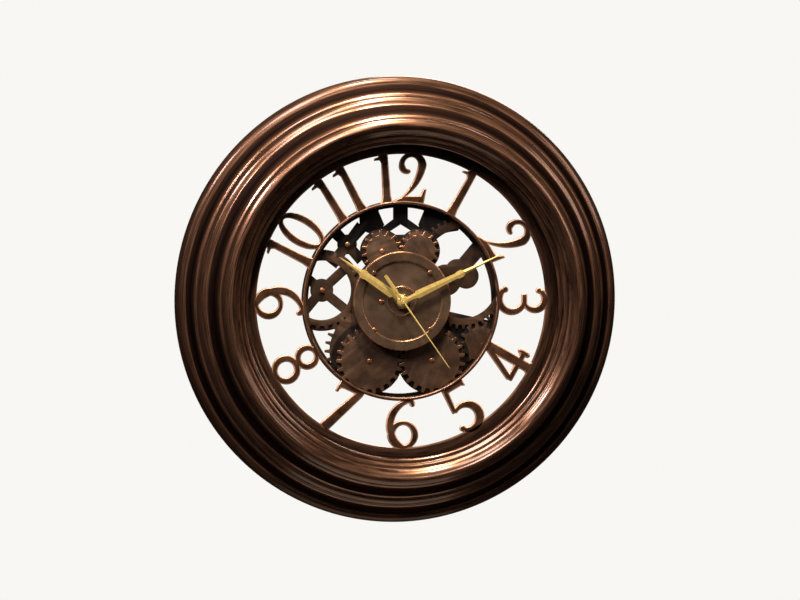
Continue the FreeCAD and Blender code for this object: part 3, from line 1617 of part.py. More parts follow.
def build_battery():
    """One AA cell lying across the bottom of the movement."""
    body = new_body("battery")
    tie(body, "Placement.Base.x", size.spring_reach - chamber_half)
    tie(body, "Placement.Base.y", -cell_depth)
    tie(body, "Placement.Base.z", (bay_bottom + bay_top) / 2)
    profile = sketch_on(body, "XZ_Plane")
    length = size.cell_length
    draw_outline(
        profile,
        [
            (0, 0),
            (length + size.cell_nub_length, 0),
            (length + size.cell_nub_length, size.cell_nub_radius),
            (length, size.cell_nub_radius),
            (length, size.cell_radius),
            (0, size.cell_radius),
        ],
    )
    revolve(body, profile, "H_Axis")
    return body


def build_nut():
    """The hexagon nut that clamps the movement to the centre disc."""
    nut = new_body("fixing_nut")
    hexagon = sketch_on(nut, "XZ_Plane", disc_floor_depth)
    corner = size.nut_across_flats / (2 * math.cos(math.pi / nut_sides))
    corners = [turned(corner, index * 360 / nut_sides) for index in range(nut_sides)]
    draw_outline(hexagon, corners)
    pad(nut, hexagon, size.nut_thickness)
    bearing(nut, (0, 0), disc_floor_depth, size.nut_thickness, size.bushing_radius + size.bearing_clearance)


# Hands: half outlines from the axis to the tip, in shares of the hand's length
hour_hand_shares = [
    (0, 0.030), (0.15, 0.032), (0.17, 0.054), (0.57, 0.047),
    (0.60, 0.058), (0.64, 0.056), (0.67, 0.030), (0.97, 0.007),
]
minute_hand_shares = [
    (0, 0.021), (0.13, 0.023), (0.145, 0.037), (0.54, 0.025),
    (0.56, 0.034), (0.60, 0.033), (0.62, 0.019), (0.97, 0.004),
]
second_hand_shares = [(0, 0.010), (0.97, 0.005)]
second_tail_shares = [(0, 0.030), (0.35, 0.036), (0.40, 0.058), (1.0, 0.052)]


def blade_points(shares, length, direction=1):
    upper = [(direction * along * length, half * length) for along, half in shares]
    lower = [(x, -y) for x, y in reversed(upper)]
    return upper + lower


def build_hand(name, blades, hub_radius, bore_radius, back, front, angle):
    """A flat hand with its round hub, pressed on its pipe and turned to its place."""
    solids = [disc(0, 0, hub_radius, back, front)]
    for shares, length, direction in blades:
        points = blade_points(shares, length, direction)
        if direction > 0:
            points.insert(len(shares), (length, 0))
        solids.append(prism(points, back, front))
    hand = fused(solids)
    hand = hand.cut(disc(0, 0, bore_radius, back, front))
    hand.rotate(Vector(0, 0, 0), Vector(0, 0, 1), 90 - angle)
    return add_shape(name, hand.Solids[0])


def build_hands():
    build_hand(
        "hour_hand",
        [(hour_hand_shares, size.hour_hand_length.number, 1)],
        size.hour_hub_radius.number,
        size.hour_pipe_radius.number,
        hour_hand_back.number,
        hour_hand_front.number,
        hour_hand_angle,
    )
    build_hand(
        "minute_hand",
        [(minute_hand_shares, size.minute_hand_length.number, 1)],
        size.minute_hub_radius.number,
        size.minute_tube_radius.number,
        minute_hand_back.number,
        minute_hand_front.number,
        minute_hand_angle,
    )
    build_hand(
        "second_hand",
        [
            (second_hand_shares, size.second_hand_length.number, 1),
            (second_tail_shares, size.second_tail_length.number, -1),
        ],
        size.second_hub_radius.number,
        size.second_arbor_radius.number,
        second_hand_back.number,
        second_hand_front.number,
        second_hand_angle,
    )


build_case()
build_glass()
build_dial()
build_gear_plate()
build_wheels()
build_centre_disc()
build_hanger()
build_movement_case()
build_movement_back()
build_mid_plate()
build_train()
build_stator()
build_coil()
build_board()
build_contacts()
build_battery()
build_nut()
build_hands()
doc.recompute()

# Every object must be sound before anything is written
for item in doc.Objects:
    if "Invalid" in item.State or "Error" in item.State:
        raise ValueError("%s is %s" % (item.Label, item.State))

kinds = ("PartDesign::Body", "Part::Feature", "Part::Cylinder")
os.makedirs("parts", exist_ok=True)
for item in doc.Objects:
    if item.TypeId not in kinds:
        continue
    if item.Shape.isNull() or not item.Shape.isValid():
        raise ValueError("%s has no valid shape" % item.Label)
    item.Shape.exportStep(os.path.join("parts", item.Label + ".step"))
    print("%-20s %d solid %10.1f mm3" % (item.Label, len(item.Shape.Solids), item.Shape.Volume))
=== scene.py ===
# %% [markdown]
# A round wall clock: a stepped bronze-finished ring, a dial of raised numerals that is open
# between them, a relief of gear wheels, and gold hands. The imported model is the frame, in metres.
# It stays as it is, and each cell below either gives one of its pieces a finish or stands a finer
# piece in its place. X points to the viewer's right, Z up, and the front faces -Y.

# %% Load the frame
import bpy
import bmesh
import math
from mathutils import Matrix, Vector


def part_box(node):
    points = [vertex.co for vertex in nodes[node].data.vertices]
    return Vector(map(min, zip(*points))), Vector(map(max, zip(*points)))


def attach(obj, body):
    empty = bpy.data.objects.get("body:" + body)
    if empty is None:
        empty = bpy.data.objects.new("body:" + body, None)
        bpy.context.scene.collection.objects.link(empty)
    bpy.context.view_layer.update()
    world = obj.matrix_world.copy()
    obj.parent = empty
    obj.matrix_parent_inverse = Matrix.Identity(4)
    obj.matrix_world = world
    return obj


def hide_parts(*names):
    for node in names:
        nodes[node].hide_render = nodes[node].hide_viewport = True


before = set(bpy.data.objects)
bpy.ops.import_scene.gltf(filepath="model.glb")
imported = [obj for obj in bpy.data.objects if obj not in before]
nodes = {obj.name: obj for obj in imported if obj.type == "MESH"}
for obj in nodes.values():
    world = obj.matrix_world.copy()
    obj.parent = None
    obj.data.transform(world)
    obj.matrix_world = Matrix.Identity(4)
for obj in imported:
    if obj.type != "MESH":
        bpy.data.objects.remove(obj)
mm = 0.001
full_turn = 2 * math.pi
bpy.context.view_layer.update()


# %% [markdown]
# The camera stands a little to the left of the clock and above it, far off with a long lens, so
# that the near crest and the far wall edge are drawn at almost the same scale, as in the picture.

# %% Camera
camera_azimuth = math.radians(-10.5)
camera_elevation = math.radians(3.35)
camera_distance = 6.0
seen_width = 0.7273
sensor_width = 36.0
far_clip = 60.0
aim = Vector((0.0039, -0.003, -0.0008))


def linked(name, data):
    """A new object in the scene that shows data."""
    made = bpy.data.objects.new(name, data)
    bpy.context.scene.collection.objects.link(made)
    return made


def stand(made, place, facing):
    """Put a camera or a lamp in its place and let it look in a direction."""
    made.location = place
    made.rotation_mode = "QUATERNION"
    made.rotation_quaternion = facing.to_track_quat("-Z", "Y")


def add_camera():
    back = Vector((
        math.sin(camera_azimuth) * math.cos(camera_elevation),
        -math.cos(camera_azimuth) * math.cos(camera_elevation),
        math.sin(camera_elevation),
    ))
    data = bpy.data.cameras.new("camera")
    data.sensor_width = sensor_width
    data.lens = sensor_width * camera_distance / seen_width
    data.clip_end = far_clip
    camera = linked("camera", data)
    stand(camera, aim + back * camera_distance, -back)
    bpy.context.scene.camera = camera
    print("lens", round(data.lens, 1))


add_camera()


# %% [markdown]
# A finish is a small node tree. The helpers below keep each tree readable: one adds a node and
# sets or links its inputs, and the others make sums, mixes, noise and colour ramps out of that.

# %% Helpers for finishes
class Wiring:
    """Short ways to add nodes to a tree of shaders."""

    def __init__(self, tree):
        self.tree = tree

    def feed(self, node, values):
        """Fill a node's inputs. A value that is another node's output is linked."""
        for socket, value in values.items():
            if isinstance(value, bpy.types.NodeSocket):
                self.tree.links.new(value, node.inputs[socket])
            else:
                node.inputs[socket].default_value = value

    def node(self, kind, values=(), **settings):
        made = self.tree.nodes.new(kind)
        for key, value in settings.items():
            setattr(made, key, value)
        self.feed(made, dict(values))
        return made

    def maths(self, operation, first, second=0.0):
        return self.node("ShaderNodeMath", {0: first, 1: second}, operation=operation).outputs[0]

    def plus(self, first, second):
        return self.maths("ADD", first, second)

    def minus(self, first, second):
        return self.maths("SUBTRACT", first, second)

    def times(self, first, second):
        return self.maths("MULTIPLY", first, second)

    def larger(self, first, second):
        return self.maths("MAXIMUM", first, second)

    def distance(self, first, second):
        return self.maths("SQRT", self.plus(self.times(first, first), self.times(second, second)))

    def mapped(self, value, low, high):
        """0 where value is low, 1 where it is high, and evenly between."""
        values = {"Value": value, "From Min": low, "From Max": high}
        return self.node("ShaderNodeMapRange", values).outputs[0]

    def uneven(self, pattern, spread, middle):
        """A value round middle that follows a pattern."""
        return self.plus(self.times(pattern, spread), middle - spread / 2)

    def mixed(self, share, first, second):
        values = {0: share, 6: first, 7: second}
        return self.node("ShaderNodeMix", values, data_type="RGBA").outputs[2]

    def ramp(self, source, stops):
        made = self.node("ShaderNodeValToRGB", {0: source})
        for element, (place, colour) in zip(made.color_ramp.elements, stops):
            element.position = place
            element.color = colour if len(colour) == 4 else (*colour, 1.0)
        return made.outputs[0]

    def noise(self, vector, scale, detail, roughness):
        values = {"Vector": vector, "Scale": scale, "Detail": detail, "Roughness": roughness}
        return self.node("ShaderNodeTexNoise", values).outputs["Fac"]

    def places(self):
        return self.node("ShaderNodeTexCoord").outputs["Object"]

    def split_places(self):
        return self.node("ShaderNodeSeparateXYZ", {0: self.places()}).outputs

    def seen_by_camera(self):
        """1 for a ray from the camera, also through glass, and 0 for any other."""
        path = self.node("ShaderNodeLightPath").outputs
        return self.larger(path["Is Camera Ray"], path["Is Transmission Ray"])


class Finish(Wiring):
    """A material with its tree and its shader."""

    def __init__(self, name):
        self.material = bpy.data.materials.new(name)
        self.material.use_nodes = True
        super().__init__(self.material.node_tree)
        self.shader = self.tree.nodes["Principled BSDF"]

    def give(self, **values):
        """Fill the shader's inputs; an underscore in a name stands for a space."""
        self.feed(self.shader, {name.replace("_", " "): value for name, value in values.items()})

    def bump(self, height, strength, distance):
        values = {"Height": height, "Strength": strength, "Distance": distance}
        self.give(Normal=self.node("ShaderNodeBump", values).outputs["Normal"])

    def show(self, chooser, first, second):
        """Let the surface be one of two shaders."""
        mix = self.node("ShaderNodeMixShader", {0: chooser, 1: first, 2: second})
        self.feed(self.tree.nodes["Material Output"], {"Surface": mix.outputs[0]})


# %% [markdown]
# The case, the rim and the inner ring are plastic, sprayed dark brown and then rubbed with copper
# where a hand would wear them. The mesh carries a "rub" value for that. Where it is low, in the
# coves, a dark matt patina lies. Where it is higher there is a mottled brown with some gloss, and
# where it is highest there is copper, broken up by fine streaks that run round the clock. Polar
# coordinates give the streaks their direction: the sine and cosine of the angle keep the pattern
# free of a seam.

# %% Rubbed bronze
cove_patina = (0.0040, 0.0018, 0.0018, 1.0)
dark_patina = (0.0120, 0.0050, 0.0036, 1.0)
brown_patina = (0.034, 0.0130, 0.0080, 1.0)
copper_rub = (0.40, 0.182, 0.108, 1.0)
brown_tint = (0.75, 0.50, 0.40, 1.0)
cove_rub, polished_rub = 0.14, 0.36
streak_floor, streak_gain = 0.34, 2.6
cove_matt = 0.30
coat_share = 0.5
gloss_share, least_gloss = 0.48, 0.02


def polar_places(finish, around, across):
    """A vector that changes slowly round the clock's axis and quickly across it."""
    x, y, z = finish.split_places()
    radius = finish.distance(x, z)
    safe = finish.larger(radius, 0.0001)
    depth_part = finish.times(y, across * 0.8)
    return finish.node("ShaderNodeCombineXYZ", {
        0: finish.times(finish.maths("DIVIDE", x, safe), around),
        1: finish.times(finish.maths("DIVIDE", z, safe), around),
        2: finish.plus(finish.times(radius, across), depth_part),
    }).outputs[0]


def rubbed_bronze(name, rub_gain, metal, roughness):
    finish = Finish(name)
    mottle = finish.noise(finish.places(), 42.0, 6.0, 0.62)
    streaks = finish.noise(polar_places(finish, around=5.0, across=1100.0), 1.0, 5.0, 0.6)
    rub = finish.node("ShaderNodeAttribute", attribute_name="rub").outputs["Fac"]
    polished = finish.mapped(rub, cove_rub, polished_rub)
    brown = finish.ramp(mottle, [(0.36, dark_patina), (0.66, brown_patina)])
    base = finish.mixed(polished, cove_patina, brown)
    broken = finish.times(finish.minus(streaks, streak_floor), streak_gain)
    worn = finish.times(finish.times(rub, broken), rub_gain)
    worn = finish.maths("MINIMUM", finish.larger(worn, 0.0), 1.0)
    matt = finish.times(finish.minus(1.0, polished), cove_matt)
    finish.bump(streaks, 0.22, 0.0004)
    finish.give(
        Base_Color=finish.mixed(worn, base, copper_rub), Metallic=metal,
        Roughness=finish.plus(finish.uneven(streaks, 0.16, roughness), matt),
        Specular_IOR_Level=finish.plus(finish.times(polished, gloss_share), least_gloss),
        Specular_Tint=brown_tint, Coat_Weight=finish.times(polished, coat_share), Coat_Roughness=0.13)
    return finish.material


case_finish = rubbed_bronze("case_bronze", 1.0, 0.75, 0.28)
dial_finish = rubbed_bronze("dial_bronze", 1.2, 0.6, 0.34)


# %% [markdown]
# The relief's flat faces are duller than the ring: the spray is thick and matt there, with blotches
# a few millimetres wide and a fine grain. Its edges are rubbed to copper, and they get a finish of
# their own, because the bevel that rounds them can put its faces in a second material slot. The
# numerals are made in the same way. Shade is painted into the relief's colour too: deeper faces turn
# towards black, and so do patches near the top and at the lower right and rings where the wheels'
# teeth stand. Places below are (x, z) in millimetres.

# %% Dull relief, painted shade and copper edge
# The near-black below is painted shade; the numbers after the wheel centres say where it lies.
painted_shade_colour = (0.010, 0.0065, 0.0055, 1.0)
lower_wheels = (28.7, -54.3)
upper_wheels = (17.2, 45.2)
shaded_tooth_rings = ((lower_wheels, 32.4), (upper_wheels, 20.4))
gap_shade_fades, gap_shade_full = 3.6, 2.2
gap_shade_share = 0.9
least_lit_share = 0.62
top_shadow_band = (44, 54)
side_shadow_band = (40, 50)


def painted_shadow_patches(finish, places):
    """Painted shadow on the low parts: near the top of the relief, which the inner ring shades, and at its
    lower right.
    """
    top = finish.mapped(places["Z"], top_shadow_band[0] * mm, top_shadow_band[1] * mm)
    slanting = finish.minus(finish.times(places["X"], 0.6), finish.times(places["Z"], 0.8))
    return finish.larger(top, finish.mapped(slanting, side_shadow_band[0] * mm, side_shadow_band[1] * mm))


def painted_gap_shade(finish, places, centre, radius):
    """A ring of painted shade in the gaps where a wheel's teeth stand, at both sides of the clock."""
    across = finish.minus(finish.maths("ABSOLUTE", places["X"]), centre[0] * mm)
    up = finish.minus(places["Z"], centre[1] * mm)
    off = finish.maths("ABSOLUTE", finish.minus(finish.distance(across, up), radius * mm))
    return finish.mapped(off, gap_shade_fades * mm, gap_shade_full * mm)


def dull_bronze(name, dark, pale, metal, roughness, depths=None, shade_tooth_gaps=False):
    """depths holds the two depths in mm between which painted shade on the deep parts fades from black to
    brown.
    """
    finish = Finish(name)
    blotches = finish.noise(finish.places(), 75.0, 5.0, 0.6)
    grain = finish.noise(finish.places(), 1500.0, 2.0, 0.5)
    pattern = finish.plus(finish.times(blotches, 0.85), finish.times(grain, 0.15))
    colour = finish.ramp(pattern, [(0.34, dark), (0.64, pale)])
    # Painted shade: deeper faces, shadow patches and tooth gaps are mixed towards near-black.
    if depths:
        places = finish.split_places()
        lit_by_depth = finish.mapped(places["Y"], -depths[0] * mm, -depths[1] * mm)
        in_shadow = painted_shadow_patches(finish, places)
        lit_share = finish.larger(lit_by_depth, finish.minus(least_lit_share, in_shadow))
        if shade_tooth_gaps:
            for centre, radius in shaded_tooth_rings:
                ring = painted_gap_shade(finish, places, centre, radius)
                lit_share = finish.minus(lit_share, finish.times(ring, gap_shade_share))
            lit_share = finish.larger(lit_share, 0.0)
        colour = finish.mixed(lit_share, painted_shade_colour, colour)
    finish.bump(grain, 0.08, 0.0001)
    finish.give(
        Base_Color=colour, Metallic=metal, Roughness=finish.uneven(blotches, 0.2, roughness),
        Specular_IOR_Level=0.45)
    return finish.material


relief_finish = dull_bronze(
    "relief_bronze", (0.040, 0.020, 0.013), (0.125, 0.062, 0.036), 0.5, 0.42, (19.7, 20.9), shade_tooth_gaps=True)
wheel_finish = dull_bronze(
    "wheel_bronze", (0.055, 0.028, 0.018), (0.125, 0.065, 0.040), 0.5, 0.42, (21.2, 23.6))
disc_finish = dull_bronze("disc_bronze", (0.070, 0.039, 0.024), (0.125, 0.072, 0.045), 0.5, 0.4)
edge_finish = dull_bronze("copper_edge", (0.20, 0.078, 0.040), (0.46, 0.19, 0.095), 0.75, 0.28)
numeral_finish = dull_bronze(
    "numeral_bronze", (0.034, 0.0150, 0.0085), (0.125, 0.054, 0.030), 0.5, 0.3)
numeral_edge_finish = dull_bronze(
    "numeral_edge", (0.40, 0.185, 0.108), (0.80, 0.41, 0.25), 0.3, 0.28)
dark_edge_finish = dull_bronze(
    "dark_copper_edge", (0.10, 0.042, 0.024), (0.34, 0.14, 0.075), 0.7, 0.32, (19.0, 20.6))


# %% [markdown]
# The hands are stamped brass with a satin gold lacquer, which is finely clouded. Steel, turned
# brass and wound wire show fine lines, so there the noise is squeezed along one axis. The colour
# barely changes, and the gloss varies a little more.

# %% Gold, steel and brass
def satin_metal(name, dark, pale, roughness, stretch=(1.0, 1.0, 1.0), scale=500.0, metal=1.0):
    finish = Finish(name)
    turned = finish.node("ShaderNodeMapping", {"Scale": stretch, "Vector": finish.places()})
    lines = finish.noise(turned.outputs[0], scale, 3.0, 0.6)
    finish.bump(lines, 0.15, 0.0001)
    finish.give(
        Base_Color=finish.ramp(lines, [(0.3, dark), (0.7, pale)]), Metallic=metal,
        Roughness=finish.uneven(lines, 0.18, roughness))
    return finish.material


gold_finish = satin_metal(
    "satin_gold", (0.58, 0.375, 0.110), (0.76, 0.520, 0.170), 0.36, metal=0.45)
steel_finish = satin_metal(
    "zinc_steel", (0.42, 0.43, 0.44), (0.62, 0.62, 0.62), 0.34, (1.0, 1.0, 6.0), 300.0)
brass_finish = satin_metal(
    "turned_brass", (0.62, 0.42, 0.16), (0.78, 0.58, 0.26), 0.28, (1.0, 8.0, 1.0), 400.0)
wire_finish = satin_metal(
    "copper_wire", (0.50, 0.20, 0.09), (0.70, 0.32, 0.16), 0.3, (9.0, 1.0, 1.0), 600.0)
can_finish = satin_metal("plated_can", (0.60, 0.60, 0.60), (0.78, 0.78, 0.78), 0.2)


# %% [markdown]
# The movement's case is black plastic from a spark-eroded mould: a fine, even bump and a low
# gloss. The wheels inside are milky white plastic, the circuit board is green, and the cell wears
# a plain grey sleeve.

# %% Plastics
def plastic(name, dark, pale, roughness, grain_scale, grain_depth, see_through=0.0):
    finish = Finish(name)
    grain = finish.noise(finish.places(), grain_scale, 3.0, 0.5)
    cloud = finish.noise(finish.places(), 60.0, 3.0, 0.5)
    finish.bump(grain, 0.3, grain_depth)
    finish.give(
        Base_Color=finish.ramp(cloud, [(0.35, dark), (0.65, pale)]),
        Roughness=finish.uneven(grain, 0.14, roughness), Specular_IOR_Level=0.5,
        Subsurface_Weight=see_through, Subsurface_Scale=0.002)
    return finish.material


black_finish = plastic("black_plastic", (0.016, 0.016, 0.018), (0.030, 0.030, 0.033), 0.5, 1800.0, 0.0002)
white_finish = plastic("milky_acetal", (0.70, 0.68, 0.62), (0.82, 0.80, 0.75), 0.4, 800.0, 0.00005, 0.15)
board_finish = plastic("circuit_board", (0.03, 0.13, 0.05), (0.06, 0.20, 0.08), 0.4, 500.0, 0.0001)
sleeve_finish = plastic("cell_sleeve", (0.09, 0.10, 0.12), (0.13, 0.14, 0.16), 0.25, 300.0, 0.00005)


# %% [markdown]
# The glass is clear and flat. Its faces refract a little, as coated glass does, and lamp light
# passes it without a dark shadow: rays that look for a lamp meet a transparent shader instead, as
# is usual for window glass. So do rays that bounced off the dial, which would otherwise count as
# glass rays and see the bright background.

# %% Glass
def clear_glass():
    finish = Finish("clear_glass")
    finish.give(Base_Color=(1.0, 1.0, 1.0, 1.0), Roughness=0.015, IOR=1.22, Transmission_Weight=1.0)
    path = finish.node("ShaderNodeLightPath").outputs
    bounced = finish.larger(path["Is Diffuse Ray"], path["Is Glossy Ray"])
    clear = finish.node("ShaderNodeBsdfTransparent").outputs[0]
    finish.show(finish.larger(path["Is Shadow Ray"], bounced), finish.shader.outputs[0], clear)
    return finish.material


glass_finish = clear_glass()
print("finishes:", len(bpy.data.materials))


# %% [markdown]
# Small helpers for meshes. A piece is made from a bmesh, gets its slots, and is shaded smooth up
# to an angle. Most pieces are built of closed rows of corners with a skin of faces between them. A
# modifier, where one is used, is turned into plain mesh before the piece rides.

# %% Helpers for pieces
smooth_angle = math.radians(32)
flat_angle = math.radians(1.0)
same_place = 0.000004
edge_slot = 1


def at(x, z, depth):
    """A place in metres. x, z and the depth in front of the wall are in millimetres."""
    return x * mm, -depth * mm, z * mm


def on_circle(centre, radius, angle):
    return centre[0] + radius * math.cos(angle), centre[1] + radius * math.sin(angle)


def circle(shape, centre, radius, depth, turns):
    """A row of corners round an axis along Y through centre; one corner where the radius is 0."""
    if radius == 0:
        return [shape.verts.new(at(*centre, depth))]
    angles = [full_turn * step / turns for step in range(turns)]
    return [shape.verts.new(at(*on_circle(centre, radius, angle), depth)) for angle in angles]


def skin(shape, first, second):
    """Faces between two closed rows of corners, either of which may be a single corner."""
    count = max(len(first), len(second))
    for index in range(count):
        after = (index + 1) % count
        corners = ((first, index), (first, after), (second, after), (second, index))
        shape.faces.new(list(dict.fromkeys(row[place % len(row)] for row, place in corners)))


def turn(shape, angle, axis):
    bmesh.ops.rotate(
        shape, verts=shape.verts, cent=(0, 0, 0), matrix=Matrix.Rotation(angle, 3, axis))


def piece_from(shape, name, finishes, smooth=smooth_angle):
    """A piece with its slots from a bmesh, which is used up."""
    mesh = bpy.data.meshes.new(name)
    shape.to_mesh(mesh)
    shape.free()
    for finish in finishes:
        mesh.materials.append(finish)
    mesh.shade_smooth()
    mesh.set_sharp_from_angle(angle=smooth)
    return linked(name, mesh)


def settle(piece, smooth=smooth_angle):
    """Turn a piece's modifiers into plain mesh."""
    graph = bpy.context.evaluated_depsgraph_get()
    mesh = bpy.data.meshes.new_from_object(piece.evaluated_get(graph), depsgraph=graph)
    piece.modifiers.clear()
    piece.data = mesh
    mesh.shade_smooth()
    mesh.set_sharp_from_angle(angle=smooth)
    return piece


def merge_flat(shape):
    bmesh.ops.dissolve_limit(
        shape, angle_limit=flat_angle, use_dissolve_boundaries=False,
        verts=shape.verts, edges=shape.edges, delimit=set(),
    )


def without_slivers(piece, shortest, triangles_first):
    """Merge flat faces and collapse very short edges, which would hold a bevel back."""
    shape = bmesh.new()
    shape.from_mesh(piece.data)
    if triangles_first:
        bmesh.ops.triangulate(shape, faces=shape.faces)
    else:
        merge_flat(shape)
    bmesh.ops.dissolve_degenerate(shape, dist=shortest, edges=shape.edges)
    if triangles_first:
        merge_flat(shape)
    shape.to_mesh(piece.data)
    shape.free()


def rounded(piece, width, steps=2, least=math.radians(38), clamped=True):
    """Round a piece's edges; the rounding takes the second slot's material."""
    bevel = piece.modifiers.new("rounded", "BEVEL")
    bevel.width = width
    bevel.segments = steps
    bevel.limit_method = "ANGLE"
    bevel.angle_limit = least
    bevel.use_clamp_overlap = clamped
    bevel.material = edge_slot
    return settle(piece)


def dressed(node, finishes, width, body="clock"):
    """A copy of a CAD node with its loose triangles merged and its edges rounded."""
    shape = bmesh.new()
    shape.from_mesh(nodes[node].data)
    bmesh.ops.remove_doubles(shape, verts=shape.verts, dist=same_place)
    merge_flat(shape)
    for face in shape.faces:
        face.material_index = 0
    made = piece_from(shape, node + "_dressed", finishes)
    rounded(made, width)
    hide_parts(node)
    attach(made, body)
    print(node, "faces", len(made.data.polygons))
    return made


def lathed(profile, name, finishes, turns, smooth=smooth_angle):
    """Spin a closed profile of (radius, depth, rub) round the hands' axis."""
    shape = bmesh.new()
    rub = shape.verts.layers.float.new("rub")
    rows = []
    for radius, depth, worn in profile:
        rows.append(circle(shape, (0, 0), radius, depth, turns))
        for vert in rows[-1]:
            vert[rub] = worn
    for first, second in zip(rows, rows[1:] + rows[:1]):
        skin(shape, first, second)
    bmesh.ops.recalc_face_normals(shape, faces=shape.faces)
    return piece_from(shape, name, finishes, smooth)


def arc_profile(start, end, bulge, count, rub_start, rub_mid, rub_end):
    """Points of an arc between two (radius, depth) corners, with their rub.

    bulge is the arc's outward rise as a share of its chord."""
    points = []
    across = end[0] - start[0]
    along = end[1] - start[1]
    for index in range(count):
        t = index / count
        rise = 4 * bulge * t * (1 - t)
        if t < 0.5:
            rub = rub_start + (rub_mid - rub_start) * 2 * t
        else:
            rub = rub_mid + (rub_end - rub_mid) * (2 * t - 1)
        points.append((start[0] + across * t + along * rise, start[1] + along * t - across * rise, rub))
    return points


# %% [markdown]
# The ring is a turned shape: a row of coves and rounds that climb to a crest, then fall in small
# beads to the lip round the glass. Spinning one profile is the natural way. Each corner carries
# how much copper shows there: little in the coves, most on the sharp lines. The inside is hollow,
# as a moulding is, and open towards the wall.

# %% Case profile
outside = [(203.0, 0.0, 0.1), (203.0, 4.6, 0.35)]
outside += arc_profile((203.0, 5.4), (196.4, 13.6), 0.20, 10, 0.35, 0.20, 0.45)
outside += [(196.0, 13.9, 1.0), (195.2, 14.1, 0.6)]
outside += arc_profile((194.8, 14.2), (188.5, 21.6), -0.12, 8, 0.05, 0.0, 0.20)
outside += [(188.3, 22.2, 0.9), (187.9, 23.2, 1.0), (187.2, 23.9, 0.9), (186.4, 24.2, 0.5)]
outside += arc_profile((185.9, 24.5), (179.2, 31.7), 0.17, 9, 0.45, 0.35, 0.60)
outside += [(178.6, 32.0, 1.0), (178.0, 32.4, 0.9), (177.5, 33.2, 0.35)]
outside += arc_profile((177.1, 33.9), (169.3, 43.0), -0.11, 9, 0.05, 0.0, 0.20)
outside += [(169.1, 43.5, 0.9), (168.8, 44.6, 1.0), (168.1, 45.4, 0.9), (167.3, 45.8, 0.5)]
outside += arc_profile((166.8, 46.2), (161.2, 56.1), 0.20, 10, 0.45, 0.35, 0.70)
outside += [(160.4, 56.65, 1.0), (159.4, 56.7, 0.9), (158.6, 56.3, 0.55)]
outside += arc_profile((158.2, 56.0), (152.4, 51.9), 0.08, 6, 0.30, 0.32, 0.45)
outside += [(152.1, 51.7, 0.8), (151.3, 51.5, 0.6), (150.8, 50.9, 0.05)]
outside += arc_profile((150.5, 50.5), (147.5, 49.1), 0.12, 4, 0.10, 0.36, 0.45)
outside += [(147.2, 49.0, 0.8), (146.5, 48.8, 0.5), (146.1, 48.4, 0.05)]
outside += arc_profile((145.8, 48.1), (142.7, 47.0), 0.12, 4, 0.10, 0.36, 0.45)
outside += [(142.3, 46.9, 0.7), (142.05, 46.4, 0.4), (142.0, 45.05, 0.1)]
inside_wall = [
    (150.0, 45.0), (150.0, 29.0), (152.6, 29.0), (152.6, 47.9), (160.5, 51.4), (166.1, 40.2),
    (177.2, 27.8), (188.4, 15.6), (200.0, 3.6), (200.0, 0.0),
]
case_profile = outside + [(radius, depth, 0.05) for radius, depth in inside_wall]
case_smooth = math.radians(50)
case_ring = lathed(case_profile, "case_moulding", [case_finish], 256, case_smooth)
print("case corners", len(case_profile), "faces", len(case_ring.data.polygons))


# %% [markdown]
# Ribs, screw bosses and screws repeat round the axis. One node tree does them all: it sets a
# number of points on the axis, turns each by its share of a full circle, and puts a copy of a
# master piece on each. The tree ends in real mesh with its material, and so does the one for the
# rivets below, which is why that part is a function.

# %% A tree that repeats a piece round the axis
def wire(tree, made, wires):
    for source, output, target, entry in wires:
        tree.links.new(made[source].outputs[output], made[target].inputs[entry])


def copying_tree(name, inputs, kinds):
    """A node tree with named inputs whose copies on points end in real mesh with a material."""
    tree = bpy.data.node_groups.new(name, "GeometryNodeTree")
    face = tree.interface
    for key, kind in (("Geometry", "Geometry"), *inputs, ("Finish", "Material")):
        face.new_socket(key, in_out="INPUT", socket_type="NodeSocket" + kind)
    face.new_socket("Geometry", in_out="OUTPUT", socket_type="NodeSocketGeometry")
    made = {key: tree.nodes.new(kind) for key, kind in (
        ("in", "NodeGroupInput"), ("out", "NodeGroupOutput"), *kinds,
        ("copies", "GeometryNodeInstanceOnPoints"), ("real", "GeometryNodeRealizeInstances"),
        ("paint", "GeometryNodeSetMaterial"))}
    wire(tree, made, (
        ("copies", 0, "real", 0), ("real", 0, "paint", 0), ("in", "Finish", "paint", "Material"),
        ("paint", 0, "out", 0)))
    return tree, made


def around_tree():
    tree, made = copying_tree(
        "repeat_round_axis", (("Piece", "Object"), ("Count", "Int"), ("First Angle", "Float")),
        (("points", "GeometryNodePoints"), ("index", "GeometryNodeInputIndex"),
         ("share", "ShaderNodeMath"), ("turn", "ShaderNodeMath"), ("angle", "ShaderNodeCombineXYZ"),
         ("info", "GeometryNodeObjectInfo")))
    made["share"].operation = "DIVIDE"
    made["turn"].operation = "MULTIPLY_ADD"
    made["turn"].inputs[1].default_value = full_turn
    wire(tree, made, (
        ("in", "Count", "points", "Count"), ("in", "Piece", "info", "Object"),
        ("index", 0, "share", 0), ("in", "Count", "share", 1), ("share", 0, "turn", 0),
        ("in", "First Angle", "turn", 2), ("turn", 0, "angle", 1),
        ("points", 0, "copies", "Points"), ("info", "Geometry", "copies", "Instance"),
        ("angle", 0, "copies", "Rotation")))
    return tree


repeat_round = around_tree()


def socket_of(tree, name):
    return next(
        item.identifier for item in tree.interface.items_tree
        if item.item_type == "SOCKET" and item.in_out == "INPUT" and item.name == name
    )


def grown(name, tree, values, smooth=smooth_angle, start=None):
    """A piece grown by a node tree and made plain mesh."""
    made = linked(name, start or bpy.data.meshes.new(name))
    modifier = made.modifiers.new("grown", "NODES")
    modifier.node_group = tree
    for key, value in values.items():
        modifier[socket_of(tree, key)] = value
    settle(made, smooth)
    print(name, "faces", len(made.data.polygons))
    return made


